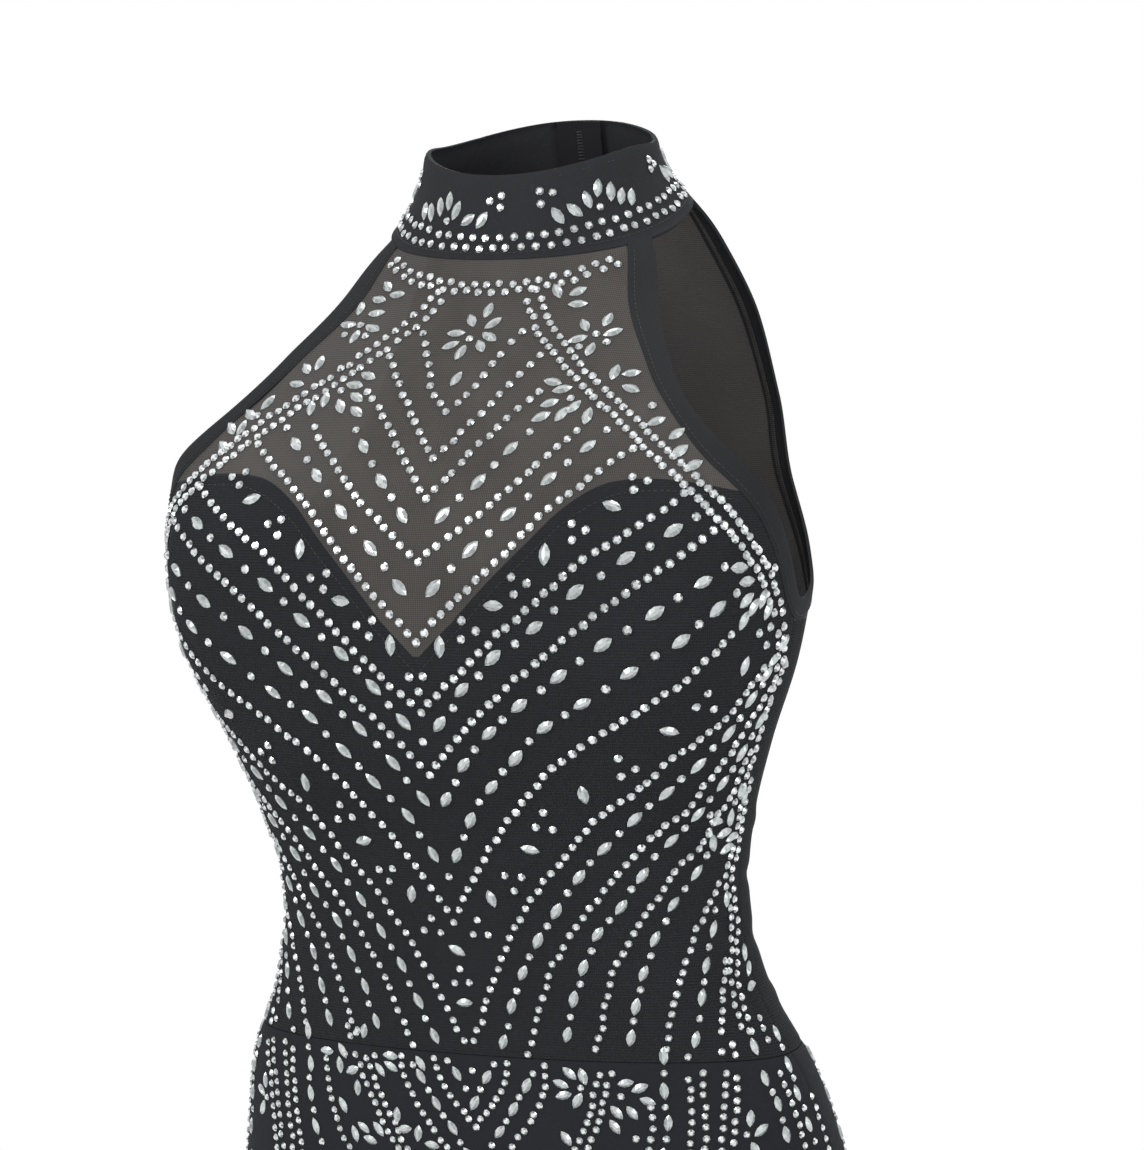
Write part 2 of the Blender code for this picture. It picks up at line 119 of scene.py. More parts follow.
NECK_RING = Ring(-0.0130, 0.416, 1.10, -1.67, 0.072, -0.060, 0.000, 0.060, 2.10)
BODY_RINGS = (NECK_RING, *(Ring(*row) for row in (
    (-0.034, 0.320, 0.60, -1.40, 0.102, -0.069, -0.008, 0.066, 2.05),
    (-0.067, 0.200, 0.20, -1.20, 0.142, -0.096, -0.026, 0.069, 2.30),
    (-0.102, 0.100, 0.00, -0.60, 0.163, -0.1175, -0.044, 0.065, 2.60),
    (-0.141, 0.030, 0.00, -0.20, 0.159, -0.135, -0.059, 0.056, 2.40),
    (-0.185, 0, 0, 0, 0.156, -0.1455, -0.067, 0.046, 2.15),
    (-0.220, 0, 0, 0, 0.150, -0.146, -0.070, 0.042, 2.15),
    (-0.260, 0, 0, 0, 0.134, -0.136, -0.059, 0.041, 2.15),
    (-0.300, 0, 0, 0, 0.121, -0.119, -0.047, 0.043, 2.15),
    (-0.340, 0, 0, 0, 0.116, -0.105, -0.036, 0.050, 2.15),
    (-0.380, 0, 0, 0, 0.123, -0.094, -0.028, 0.063, 2.15),
    (-0.420, 0, 0, 0, 0.142, -0.084, -0.018, 0.082, 2.15),
    (-0.460, 0, 0, 0, 0.152, -0.079, -0.005, 0.099, 2.15),
    (-0.520, 0, 0, 0, 0.159, -0.078, 0.006, 0.112, 2.15),
    (-0.620, 0, 0, 0, 0.155, -0.078, 0.010, 0.106, 2.15),
    (-0.800, 0, 0, 0, 0.139, -0.073, 0.012, 0.098, 2.15),
    (-0.980, 0, 0, 0, 0.136, -0.076, 0.012, 0.102, 2.15),
    (-1.150, 0, 0, 0, 0.170, -0.104, 0.010, 0.128, 2.10),
    (-1.335, 0, 0, 0, 0.226, -0.152, 0.008, 0.172, 2.05),
)))
COLLAR_RINGS = (
    NECK_RING,
    Ring(-0.0045, 0.330, -0.80, -0.35, 0.065, -0.058, 0.000, 0.057, 2.10),
    Ring(0.0065, 0.210, -2.70, 2.10, 0.059, -0.056, 0.000, 0.054, 2.10),
    Ring(0.0210, 0.087, -4.28, 4.10, 0.055, -0.053, 0.000, 0.051, 2.10),
)
COLLAR_TOP = COLLAR_RINGS[-1].height
ARMHOLE = tuple(Armhole(*row) for row in (
    (-0.013, 66, 122), (-0.034, 50, 133), (-0.067, 40, 140), (-0.102, 42.5, 141),
    (-0.141, 67, 131), (-0.165, 78, 120), (-0.185, 86, 107), (-0.194, 90, 90),
))
SWEETHEART = tuple(Edge(*row) for row in (
    (-0.2180, 0.00), (-0.1990, 0.10), (-0.1800, 0.20), (-0.1635, 0.30), (-0.1490, 0.40),
    (-0.1390, 0.50), (-0.1325, 0.60), (-0.1300, 0.70), (-0.1310, 0.85), (-0.1370, 1.00),
))


def hermite(knots: Array, values: Array, at: Array) -> Array:
    """Reads a smooth curve through knots that rise.

    Args:
        knots: Where the values lie.
        values: The curve's value at each knot.
        at: Where to read it; places outside the knots read the nearest end.

    Returns:
        The curve's values.
    """
    tangents = np.gradient(values, knots)
    at = np.clip(at, knots[0], knots[-1])
    left = np.clip(np.searchsorted(knots, at, side="right") - 1, 0, len(knots) - 2)
    span = knots[left + 1] - knots[left]
    t = (at - knots[left]) / span
    start = (1 + 2 * t) * (1 - t) ** 2 * values[left]
    start += t * (1 - t) ** 2 * span * tangents[left]
    end = t * t * (3 - 2 * t) * values[left + 1]
    end += t * t * (t - 1) * span * tangents[left + 1]
    return start + end


def column(table: Sequence[NamedTuple], name: str, height: Array | float) -> Array:
    """Reads a table's named column at any height between its first row and its last.

    Args:
        table: Rows with a height each, in order.
        name: The column.
        height: Where to read it.

    Returns:
        The column's values there.
    """
    knots = np.array([abs(row.height - table[0].height) for row in table])
    values = np.array([float(getattr(row, name)) for row in table])
    return hermite(knots, values, np.abs(np.asarray(height, float) - table[0].height))


def run_length(points: Array) -> Array:
    """The distance along a path to each of its points."""
    return np.concatenate(([0.0], np.cumsum(np.linalg.norm(np.diff(points, axis=0), axis=1))))


def unit(vectors: Array) -> Array:
    """Vectors brought to a length of one."""
    return vectors / np.linalg.norm(vectors, axis=-1, keepdims=True)


def add_object(name: str, data: bpy.types.ID) -> Object:
    """Puts a new object in the scene.

    Args:
        name: The object's name.
        data: Its mesh, lamp or camera.

    Returns:
        The object, at the origin.
    """
    obj = bpy.data.objects.new(name, data)
    bpy.context.scene.collection.objects.link(obj)
    return obj


@dataclass
class Form:
    """A surface through a stack of rings, read by arc and height."""

    rings: tuple[Ring, ...]
    back_roundness: float = 2.15
    row_step: float = 0.003
    angle_count: int = 361
    nudge: float = 1e-4
    lap: float = 0.0

    def __post_init__(self) -> None:
        """Works out the length of cloth round the form at closely spaced heights."""
        high = max(self.rings[0].height, self.rings[-1].height)
        self.low = min(self.rings[0].height, self.rings[-1].height) - self.lap
        self.heights = np.linspace(self.low, high, int((high - self.low) / self.row_step) + 2)
        self.angles = np.linspace(0, CENTRE_BACK, self.angle_count)
        points = self.point(self.angles[None, :], self.heights[:, None])
        steps = np.linalg.norm(np.diff(points, axis=1), axis=-1)
        self.lengths = np.pad(np.cumsum(steps, axis=1), ((0, 0), (1, 0)))

    def point(self, angle: Array, height: Array) -> Array:
        """Reads points of the form.

        Args:
            angle: Angles from the centre front.
            height: Heights, of a shape that goes with the angles.

        Returns:
            A point (x, y, z) for each place.
        """
        slope, front_dip, back_dip, half_width, front, middle, back, roundness = (
            column(self.rings, name, height) for name in Ring._fields[1:])
        across, ahead = np.sin(angle), np.cos(angle)
        power = 2 / np.where(ahead > 0, roundness, self.back_roundness)
        depth = np.where(ahead > 0, middle - front, back - middle)
        x = half_width * np.sign(across) * np.abs(across) ** power
        y = middle - depth * np.sign(ahead) * np.abs(ahead) ** power
        z = height + slope * y + np.where(y < 0, front_dip, back_dip) * y * y
        return np.stack(np.broadcast_arrays(x, y, z), axis=-1)

    def row(self, height: float) -> Array:
        """Reads the length of cloth from the centre front to each of the form's angles.

        Args:
            height: The height, in metres.

        Returns:
            The lengths, in metres.
        """
        place = np.clip((height - self.low) / (self.heights[1] - self.low), 0,
                        len(self.heights) - 1.001)
        index = int(place)
        share = place - index
        return self.lengths[index] * (1 - share) + self.lengths[index + 1] * share

    def angle(self, arc: Array, height: Array) -> Array:
        """Finds the angles of places.

        Args:
            arc: Their arcs.
            height: Their heights.

        Returns:
            Their angles from the centre front.
        """
        arc, height = np.broadcast_arrays(np.asarray(arc, float), np.asarray(height, float))
        found = np.empty(arc.shape)
        for level in np.unique(height):
            chosen = height == level
            found[chosen] = np.interp(np.abs(arc[chosen]), self.row(level), self.angles)
        return found * np.where(arc < 0, -1, 1)

    def arc_at(self, angle: float, height: float) -> float:
        """The length of cloth from the centre front to an angle."""
        return float(np.interp(angle, self.angles, self.row(height)))

    def surface(self, arc: Array, height: Array, out: Array | float = 0.0) -> Array:
        """Points of the cloth at these places, moved out along the form's normal."""
        angle = self.angle(arc, height)
        return self.point(angle, height) + self.normals(angle, height) * np.asarray(out)[..., None]

    def normals(self, angle: Array, height: Array) -> Array:
        """Reads the form's normals, which point out of the dress.

        Args:
            angle: Angles from the centre front.
            height: Heights.

        Returns:
            A vector of length one for each place.
        """
        wide = self.point(angle + self.nudge, height) - self.point(angle - self.nudge, height)
        tall = self.point(angle, height + self.nudge) - self.point(angle, height - self.nudge)
        return unit(np.cross(wide, tall))


@dataclass
class BodyForm(Form):
    """The dress below the collar, with fullness at the bust and flutes at the hem."""

    rings: tuple[Ring, ...] = BODY_RINGS
    cup_angle: float = radians(46)
    cup_spread: float = radians(21)
    cup_height: float = -0.178
    cup_reach: float = 0.058
    cup_depth: float = 0.014
    flutes: int = 8
    flute_depth: float = 0.007
    flute_top: float = -0.98
    flute_growth: float = 1.5

    def point(self, angle: Array, height: Array) -> Array:
        """Reads points of the rings, moved out at the bust and in waves toward the hem.

        Args:
            angle: Angles from the centre front.
            height: Heights.

        Returns:
            A point for each place.
        """
        turn = (np.abs(angle) - self.cup_angle) / self.cup_spread
        climb = (height - self.cup_height) / self.cup_reach
        hem = self.rings[-1].height
        flare = np.clip((self.flute_top - height) / (self.flute_top - hem), 0, 1)
        out = self.cup_depth * np.exp(-turn * turn - climb * climb)
        out = out + self.flute_depth * flare ** self.flute_growth * np.cos(self.flutes * angle)
        away = np.stack(np.broadcast_arrays(np.sin(angle), -np.cos(angle), 0 * angle), axis=-1)
        return super().point(angle, height) + away * np.asarray(out)[..., None]


@dataclass
class CollarForm(Form):
    """The stand collar, which laps a little over the top edge of the net."""

    rings: tuple[Ring, ...] = COLLAR_RINGS
    lap: float = 0.0015
    body: BodyForm = field(default_factory=BodyForm)

    def point(self, angle: Array, height: Array) -> Array:
        """Points of the rings, and of the body below the collar's seam."""
        own, under = super().point(angle, height), self.body.point(angle, height)
        return np.where(np.asarray(height)[..., None] < self.rings[0].height, under, own)


@dataclass
class Cut:
    """The pattern of the dress: its seams, its armholes and the gaps between its pieces."""

    body: BodyForm
    collar: CollarForm
    neck_seam: float = -0.0130
    armhole_low: float = -0.194
    waist_seam: float = -0.408
    hem: float = -1.335
    seam_gap: float = 0.0003
    neck_gap: float = 0.0006
    layer_gap: float = 0.0012
    net_wall: float = 0.0010
    lining_wall: float = 0.0010
    skirt_wall: float = 0.0016
    collar_wall: float = 0.0020
    binding_wall: float = 0.0016
    binding_width: float = 0.010
    tuck: float = 0.004
    binding_top_gap: float = 0.0010
    proud: float = 0.0005
    turn_reach: float = 0.012
    turn_rows: int = 14
    branch_samples: int = 60
    path_samples: int = 161
    smoothing_passes: int = 14

    def __post_init__(self) -> None:
        """Works out the armhole's edge and the lines beside it."""
        self.armhole = self.armhole_path()
        self.binding_inner = self.offset(self.armhole, self.binding_width)
        self.panel_edge = self.offset(self.armhole, self.binding_width + self.seam_gap)
        self.tucked_edge = self.offset(self.armhole, self.binding_width - self.tuck)
        self.binding_low = float(self.binding_inner[:, 1].min())
        self.panel_low = float(self.panel_edge[:, 1].min())

    def side_arc(self, height: float) -> float:
        """The length of cloth from the centre front to the side seam."""
        return self.body.arc_at(SIDE, height)

    def back_arc(self, height: float) -> float:
        """The length of cloth from the centre front to the centre back."""
        return float(self.body.row(height)[-1])

    def armhole_path(self) -> Array:
        """Works out the armhole's edge, from the collar's front to its back.

        Returns:
            Each place's distance from the side seam, and its height.
        """
        heights = np.linspace(self.neck_seam, self.armhole_low, self.branch_samples)
        branches = []
        for name in ("front", "back"):
            angles = np.radians(column(ARMHOLE, name, heights))
            branches.append(np.array([
                (self.body.arc_at(angle, height) - self.side_arc(height), height)
                for angle, height in zip(angles, heights)
            ]))
        path = np.concatenate([branches[0], branches[1][-2::-1]])
        along = run_length(path)
        even = np.linspace(0, along[-1], self.path_samples)
        path = np.stack([np.interp(even, along, path[:, i]) for i in (0, 1)], axis=1)
        for _ in range(self.smoothing_passes):
            path[1:-1] = (path[:-2] + path[1:-1] + path[2:]) / 3
        return path

    def offset(self, path: Array, distance: float) -> Array:
        """Moves a path away from the armhole, with its ends kept on the neck seam.

        Args:
            path: The path.
            distance: How far it moves.

        Returns:
            The new path.
        """
        tangent = unit(np.gradient(path, axis=0))
        moved = path + np.stack([tangent[:, 1], -tangent[:, 0]], axis=1) * distance
        moved[:, 1] = np.minimum(moved[:, 1], self.neck_seam)
        moved[[0, -1], 1] = self.neck_seam
        return moved

    def limit(self, height: float, sign: int, tucked: bool = False) -> float:
        """Finds the arc where the front (sign -1) or the back (sign 1) ends.

        Args:
            height: The height, in metres.
            sign: Which of the two it is.
            tucked: Whether the cloth runs on under the binding.

        Returns:
            The arc, in metres, on the wearer's left.
        """
        edge = self.tucked_edge if tucked else self.panel_edge
        low = edge[:, 1].argmin()
        distance = self.seam_gap / 2
        if height > edge[low, 1]:
            branch = edge[: low + 1] if sign < 0 else edge[low:][::-1]
            distance = max(distance, sign * np.interp(-height, -branch[:, 1], branch[:, 0]))
        return self.side_arc(height) + sign * distance

    def sweetheart(self, share: Array) -> Array:
        """The heights of the lining's top edge at shares of the way across the front."""
        heights, shares = np.array(SWEETHEART).T
        return hermite(shares, heights, np.abs(2 * np.asarray(share) - 1))

    def levels(self, top: float, above: int, below: int) -> Array:
        """Row heights of a bodice layer, close together where the armhole turns.

        Args:
            top: The highest row.
            above: How many rows lie above the armhole's turn.
            below: How many lie below it.

        Returns:
            The heights, top first.
        """
        turn = self.binding_low + self.turn_reach * np.linspace(1, 0, self.turn_rows) ** 2
        high = np.linspace(top, turn[0], above + 1)[:-1] if above else []
        low = np.linspace(self.panel_low, self.waist_seam + self.seam_gap / 2, below)
        return np.concatenate([high, turn, low])


@dataclass(frozen=True)
class Crease:
    """A soft ridge or trough between two places, in millimetres; a trough has a minus depth."""

    start: Place
    end: Place
    width: float
    depth: float
    taper: float = 0.8

    def height(self, arc: Array, level: Array) -> Array:
        """Reads how far the crease moves the cloth out.

        Args:
            arc: Arcs of the places, in metres.
            level: Their heights.

        Returns:
            The distances, in metres.
        """
        start, end = np.array(self.start) * MM, np.array(self.end) * MM
        span = end - start
        length = float(np.hypot(*span))
        along = ((arc - start[0]) * span[0] + (level - start[1]) * span[1]) / length
        aside = ((arc - start[0]) * span[1] - (level - start[1]) * span[0]) / length
        share = np.clip(along / length, 0, 1)
        fade = np.sin(pi * share) ** self.taper * ((along > 0) & (along < length))
        return self.depth * MM * fade * np.exp(-((aside / (self.width * MM)) ** 2))


# Creases given one by one: both ends, the width and the depth, in millimetres.
BODICE_CREASES = tuple(Crease(*row) for row in (
    ((118, -320), (152, -372), 3.2, -1.5),
    ((112, -334), (140, -366), 2.6, 1.0),
    ((104, -300), (150, -342), 3.6, -1.2),
    ((128, -352), (150, -398), 3.0, -1.1),
    ((96, -352), (138, -392), 3.4, -0.8),
    ((100, -276), (150, -310), 4.2, 0.9),
    ((-118, -330), (-146, -372), 3.4, -1.1),
    ((-108, -306), (-144, -342), 3.8, -0.9),
    ((-120, -352), (-144, -394), 3.2, 0.9),
    ((60, -330), (100, -376), 5.0, -0.5),
    ((-60, -330), (-98, -380), 5.0, -0.5),
    ((140, -150), (176, -196), 4.0, -0.9),
    ((124, -146), (166, -204), 4.5, 0.8),
    ((-140, -150), (-174, -198), 4.2, -0.9),
    ((-122, -140), (-160, -196), 4.6, 0.7),
    ((90, -60), (108, -112), 3.4, -0.7),
    ((-92, -62), (-112, -110), 3.6, -0.7),
    ((40, -30), (64, -62), 4.0, 0.5),
    ((-36, -30), (-62, -64), 4.4, 0.5),
))
BACK_CREASES = tuple(Crease(*row) for row in (
    ((156, -322), (236, -336), 4.6, -1.6),
    ((-158, -330), (-240, -324), 4.2, -1.4),
    ((160, -352), (252, -368), 5.4, -1.9),
    ((-158, -348), (-256, -366), 5.0, -1.8),
    ((176, -386), (240, -378), 4.2, 1.3),
    ((-172, -392), (-232, -382), 4.6, 1.3),
    ((170, -296), (222, -304), 5.0, 1.1),
    ((-176, -290), (-216, -300), 5.4, -1.1),
    ((214, -262), (262, -214), 6.0, -1.3),
    ((-210, -256), (-264, -220), 6.4, -1.3),
    ((212, -120), (236, -60), 5.0, -1.1),
    ((-216, -112), (-238, -56), 5.4, 1.1),
))
SKIRT_CREASES = tuple(Crease(*row) for row in (
    ((30, -430), (96, -462), 6.0, -0.7),
    ((-24, -436), (-90, -470), 6.5, -0.6),
    ((110, -424), (164, -452), 5.0, 0.8),
    ((-104, -420), (-160, -456), 5.4, -0.8),
    ((40, -520), (150, -600), 9.0, -1.0),
    ((-46, -540), (-148, -610), 10.0, -0.9),
    ((20, -700), (120, -760), 11.0, 1.2),
    ((-14, -720), (-126, -800), 12.0, -1.2),
    ((30, -860), (128, -930), 12.0, -1.2),
    ((-30, -880), (-130, -940), 12.0, 1.0),
    ((240, -470), (320, -520), 9.0, -1.0),
    ((-236, -476), (-322, -530), 9.0, -0.9),
    ((220, -640), (300, -700), 11.0, 1.0),
    ((-224, -650), (-300, -720), 11.0, -1.0),
    ((230, -880), (300, -960), 12.0, -1.1),
    ((-226, -900), (-300, -960), 12.0, 1.0),
))


def relief(creases: Sequence[Crease], arc: Array, level: Array) -> Array:
    """How far a set of creases moves the cloth out at these places, in metres."""
    smooth = np.zeros(np.broadcast(arc, level).shape)
    return sum((crease.height(arc, level) for crease in creases), smooth)


class Canvas:
    """Adds nodes to one tree and joins them."""

    def __init__(self, tree: bpy.types.NodeTree) -> None:
        """Starts on a tree."""
        self.tree = tree

    def add(self, kind: str, inputs: dict | None = None, **settings: object) -> Node:
        """Adds a node.

        Args:
            kind: The node's type.
            inputs: A value or a socket for each input, by name or index.
            **settings: The node's own properties.

        Returns:
            The node.
        """
        node = self.tree.nodes.new(kind)
        for name, value in settings.items():
            setattr(node, name, value)
        self.feed(node, inputs or {})
        return node

    def feed(self, node: Node, inputs: dict) -> None:
        """Joins sockets to a node's inputs, and sets the inputs that have a plain value.

        Args:
            node: The node.
            inputs: A value or a socket for each input, by name or index.
        """
        for key, value in inputs.items():
            if isinstance(value, Socket):
                self.tree.links.new(value, node.inputs[key])
            else:
                node.inputs[key].default_value = value

    def maths(self, operation: str, *values: object) -> Socket:
        """Adds a sum on numbers or sockets and gives its result."""
        return self.add("ShaderNodeMath", dict(enumerate(values)), operation=operation).outputs[0]

    def clamp(self, value: Socket, low: float = 0.0) -> Socket:
        """Keeps a value between a low limit and 1."""
        return self.maths("MINIMUM", self.maths("MAXIMUM", value, low), 1.0)

    def swing(self, value: Socket, depth: float, middle: float = 0.5) -> Socket:
        """Turns a value into a shade of about 1 that swings by a depth about its middle."""
        return self.maths("MULTIPLY_ADD", value, depth, 1 - depth * middle)

    def noise(self, vector: Socket, scale: object, detail: float = 2.0) -> Socket:
        """Adds smooth noise and gives its value, from 0 to 1."""
        inputs = {"Vector": vector, "Scale": scale, "Detail": detail}
        return self.add("ShaderNodeTexNoise", inputs).outputs[0]

    def blend(self, share: object, first: object, second: object) -> Socket:
        """Mixes two colours and gives the result."""
        inputs = {0: share, 6: first, 7: second}
        return self.add("ShaderNodeMix", inputs, data_type="RGBA").outputs[2]

    def scaled(self, colour: Colour, level: Socket) -> Socket:
        """Makes a colour lighter or darker and gives the result."""
        inputs = {0: colour, 3: level}
        return self.add("ShaderNodeVectorMath", inputs, operation="SCALE").outputs[0]

    def bump(self, height: Socket, distance: float, strength: float) -> Socket:
        """Turns a height into normals."""
        inputs = {"Distance": distance, "Strength": strength, "Height": height}
        return self.add("ShaderNodeBump", inputs).outputs[0]

    def in_piece(self) -> Socket:
        """A place in the piece, on its Object coordinates."""
        return self.add("ShaderNodeTexCoord").outputs["Object"]

    def on_cloth(self) -> tuple[Socket, Socket, Socket]:
        """Reads the piece's UV map.

        Returns:
            The place on the cloth, and how far along and up the cloth it is.
        """
        place = self.add("ShaderNodeUVMap", uv_map=UV_LAYER).outputs[0]
        parts = self.add("ShaderNodeSeparateXYZ", {0: place}).outputs
        return place, parts[0], parts[1]

    def waves(self, pitch: Socket, *ways: Socket) -> list[Socket]:
        """Adds waves of one pitch along each of some ways and gives their heights."""
        turns = [self.maths("MULTIPLY", self.maths("DIVIDE", way, pitch), 2 * pi) for way in ways]
        return [self.maths("SINE", turn) for turn in turns]

    def read(self, name: str) -> Socket:
        """The value of the mesh's own attribute."""
        return self.add("ShaderNodeAttribute", attribute_name=name).outputs["Fac"]


@dataclass(frozen=True)
class GroupSpec:
    """A shader node group's name and its inputs and outputs, with the inputs' defaults."""

    name: str
    inputs: dict[str, float]
    outputs: tuple[str, ...]


class EffectGroup:
    """A shader effect that several finishes share, built once."""

    spec: GroupSpec

    def tree(self) -> bpy.types.NodeTree:
        """Builds the group on first use.

        Returns:
            Its tree.
        """
        found = bpy.data.node_groups.get(self.spec.name)
        if found:
            return found
        made = bpy.data.node_groups.new(self.spec.name, "ShaderNodeTree")
        for name, default in self.spec.inputs.items():
            socket = made.interface.new_socket(name, in_out="INPUT", socket_type="NodeSocketFloat")
            socket.default_value = default
        for name in self.spec.outputs:
            made.interface.new_socket(name, in_out="OUTPUT", socket_type="NodeSocketFloat")
        canvas = Canvas(made)
        entry = canvas.add("NodeGroupInput")
        leave = canvas.add("NodeGroupOutput")
        canvas.feed(leave, self.draw(canvas, entry))
        return made

    def draw(self, canvas: Canvas, entry: Node) -> dict[str, Socket]:
        """Adds the group's nodes and gives its output sockets by name."""
        raise NotImplementedError

    def place(self, canvas: Canvas, **values: float) -> Node:
        """Adds the group to a material, with the material's own values for its inputs."""
        inputs = {name.replace("_", " ").title(): value for name, value in values.items()}
        return canvas.add("ShaderNodeGroup", inputs, node_tree=self.tree())


class RibKnit(EffectGroup):
    """Fine level ribs of a knitted cloth, with small uneven stitches along each rib."""

    spec = GroupSpec("Rib Knit", {"Pitch": 0.00115, "Unevenness": 0.3}, ("Height", "Shade"))
    grain_scale = 900.0

    def draw(self, canvas: Canvas, entry: Node) -> dict[str, Socket]:
        """Adds waves along the height of the cloth, broken by noise.

        Args:
            canvas: The group's canvas.
            entry: The node with the group's inputs.

        Returns:
            The ribs' height and shade.
        """
        place, _, up = canvas.on_cloth()
        uneven = entry.outputs["Unevenness"]
        rise = canvas.maths("MULTIPLY_ADD", *canvas.waves(entry.outputs["Pitch"], up), 0.5, 0.5)
        worn = canvas.maths("MULTIPLY", canvas.noise(place, self.grain_scale, 3.0), uneven)
        height = canvas.maths("ADD", rise, worn)
        shade = canvas.maths("SUBTRACT", height, canvas.maths("MULTIPLY", uneven, 0.5))
        return {"Height": height, "Shade": shade}


class JerseyFace(EffectGroup):
    """The smooth face of a jersey: close wales with slight pilling."""

    spec = GroupSpec("Jersey Face", {"Pitch": 0.0007, "Pilling": 0.4}, ("Height", "Shade"))
    wale_depth = 0.3
    fuzz_scale = 420.0

    def draw(self, canvas: Canvas, entry: Node) -> dict[str, Socket]:
        """Adds close upright wales crossed by courses, and noise for the pilling.

        Args:
            canvas: The group's canvas.
            entry: The node with the group's inputs.

        Returns:
            The face's height and shade, which are one.
        """
        place, along, up = canvas.on_cloth()
        wales = canvas.maths("MULTIPLY", *canvas.waves(entry.outputs["Pitch"], along, up))
        weave = canvas.maths("MULTIPLY_ADD", wales, self.wale_depth, 0.5)
        fuzz = canvas.noise(place, self.fuzz_scale, 4.0)
        height = canvas.maths("MULTIPLY_ADD", fuzz, entry.outputs["Pilling"], weave)
        return {"Height": height, "Shade": height}


class NetHoles(EffectGroup):
    """The open mesh of a stretch net, as the share of the cloth that is thread."""

    spec = GroupSpec("Net Holes", {"Pitch": 0.0011, "Thread": 0.5, "Contrast": 0.5}, ("Cover",))
    patch_scale = 26.0
    patch_depth = 0.10
    least = 0.05

    def draw(self, canvas: Canvas, entry: Node) -> dict[str, Socket]:
        """Adds small diamonds, with a cover that rises and falls a little over the cloth.

        Args:
            canvas: The group's canvas.
            entry: The node with the group's inputs.

        Returns:
            The cover, from 0 to 1.
        """
        place, along, up = canvas.on_cloth()
        slants = (canvas.maths("ADD", along, up), canvas.maths("SUBTRACT", along, up))
        cells = canvas.maths("MULTIPLY", *canvas.waves(entry.outputs["Pitch"], *slants))
        cover = canvas.maths("MULTIPLY_ADD", cells, entry.outputs["Contrast"],
                             entry.outputs["Thread"])
        patches = canvas.maths("SUBTRACT", canvas.noise(place, self.patch_scale), 0.5)
        cover = canvas.maths("MULTIPLY_ADD", patches, self.patch_depth, cover)
        return {"Cover": canvas.clamp(cover, self.least)}


class ClothTone(EffectGroup):
    """Slow changes of tone over a cloth, and the faint dust that dark cloth gathers."""

    spec = GroupSpec("Cloth Tone", {"Patch Size": 14.0, "Patch Depth": 0.3, "Lint": 0.4},
                     ("Tone", "Dust"))
    speck_scale = 620.0
    speck_start = 0.66
    speck_gain = 6.0

    def draw(self, canvas: Canvas, entry: Node) -> dict[str, Socket]:
        """Adds large soft patches, and specks where fine noise peaks.

        Args:
            canvas: The group's canvas.
            entry: The node with the group's inputs.

        Returns:
            The tone, about 1, and the dust, from 0 to 1.
        """
        place = canvas.in_piece()
        patch = canvas.noise(place, entry.outputs["Patch Size"], 3.0)
        tone = canvas.maths("MULTIPLY_ADD", canvas.maths("SUBTRACT", patch, 0.5),
                            entry.outputs["Patch Depth"], 1.0)
        peak = canvas.maths("SUBTRACT", canvas.noise(place, self.speck_scale), self.speck_start)
        speck = canvas.clamp(canvas.maths("MULTIPLY", peak, self.speck_gain))
        return {"Tone": tone, "Dust": canvas.maths("MULTIPLY", speck, entry.outputs["Lint"])}


class RubbedMetal(EffectGroup):
    """Paint on metal that has rubbed thin along the edges, with fine scratches."""

    spec = GroupSpec("Rubbed Metal", {"Wear": 0.5}, ("Bare", "Scratch"))
    chip_scale = 2400.0
    scratch_scale = 5200.0
    corner_start = 0.52
    corner_gain = 12.0

    def draw(self, canvas: Canvas, entry: Node) -> dict[str, Socket]:
        """Adds wear at sharp corners, broken by noise, and noise for the scratches.

        Args:
            canvas: The group's canvas.
            entry: The node with the group's inputs.

        Returns:
            The share of bare metal, and the scratches.
        """
        corner = canvas.add("ShaderNodeNewGeometry").outputs["Pointiness"]
        place = canvas.in_piece()
        edge = canvas.maths("MULTIPLY", canvas.maths("SUBTRACT", corner, self.corner_start),
                            self.corner_gain)
        edge = canvas.maths("MULTIPLY", canvas.maths("MAXIMUM", edge, 0.0),
                            canvas.noise(place, self.chip_scale, 4.0))
        bare = canvas.maths("MINIMUM", canvas.maths("MULTIPLY", edge, entry.outputs["Wear"]), 1.0)
        return {"Bare": bare, "Scratch": canvas.noise(place, self.scratch_scale, 5.0)}


RIB_KNIT = RibKnit()
JERSEY_FACE = JerseyFace()
NET_HOLES = NetHoles()
CLOTH_TONE = ClothTone()
RUBBED_METAL = RubbedMetal()


class Finish:
    """What every finish does: it makes its material once and puts it on a piece."""

    name: str

    def material(self) -> bpy.types.Material:
        """Makes the finish's material on first use.

        Returns:
            The material.
        """
        found = bpy.data.materials.get(self.name)
        if found:
            return found
        made = bpy.data.materials.new(self.name)
        made.use_nodes = True
        shader = made.node_tree.nodes["Principled BSDF"]
        canvas = Canvas(made.node_tree)
        canvas.feed(shader, self.draw(canvas))
        return made

    def draw(self, canvas: Canvas) -> dict[str, object]:
        """Adds the finish's nodes and gives a socket or a value for the shader's inputs."""
        raise NotImplementedError

    def coat(self, obj: Object) -> None:
        """Puts the finish on a piece, in place of what it had."""
        obj.data.materials.clear()
        obj.data.materials.append(self.material())


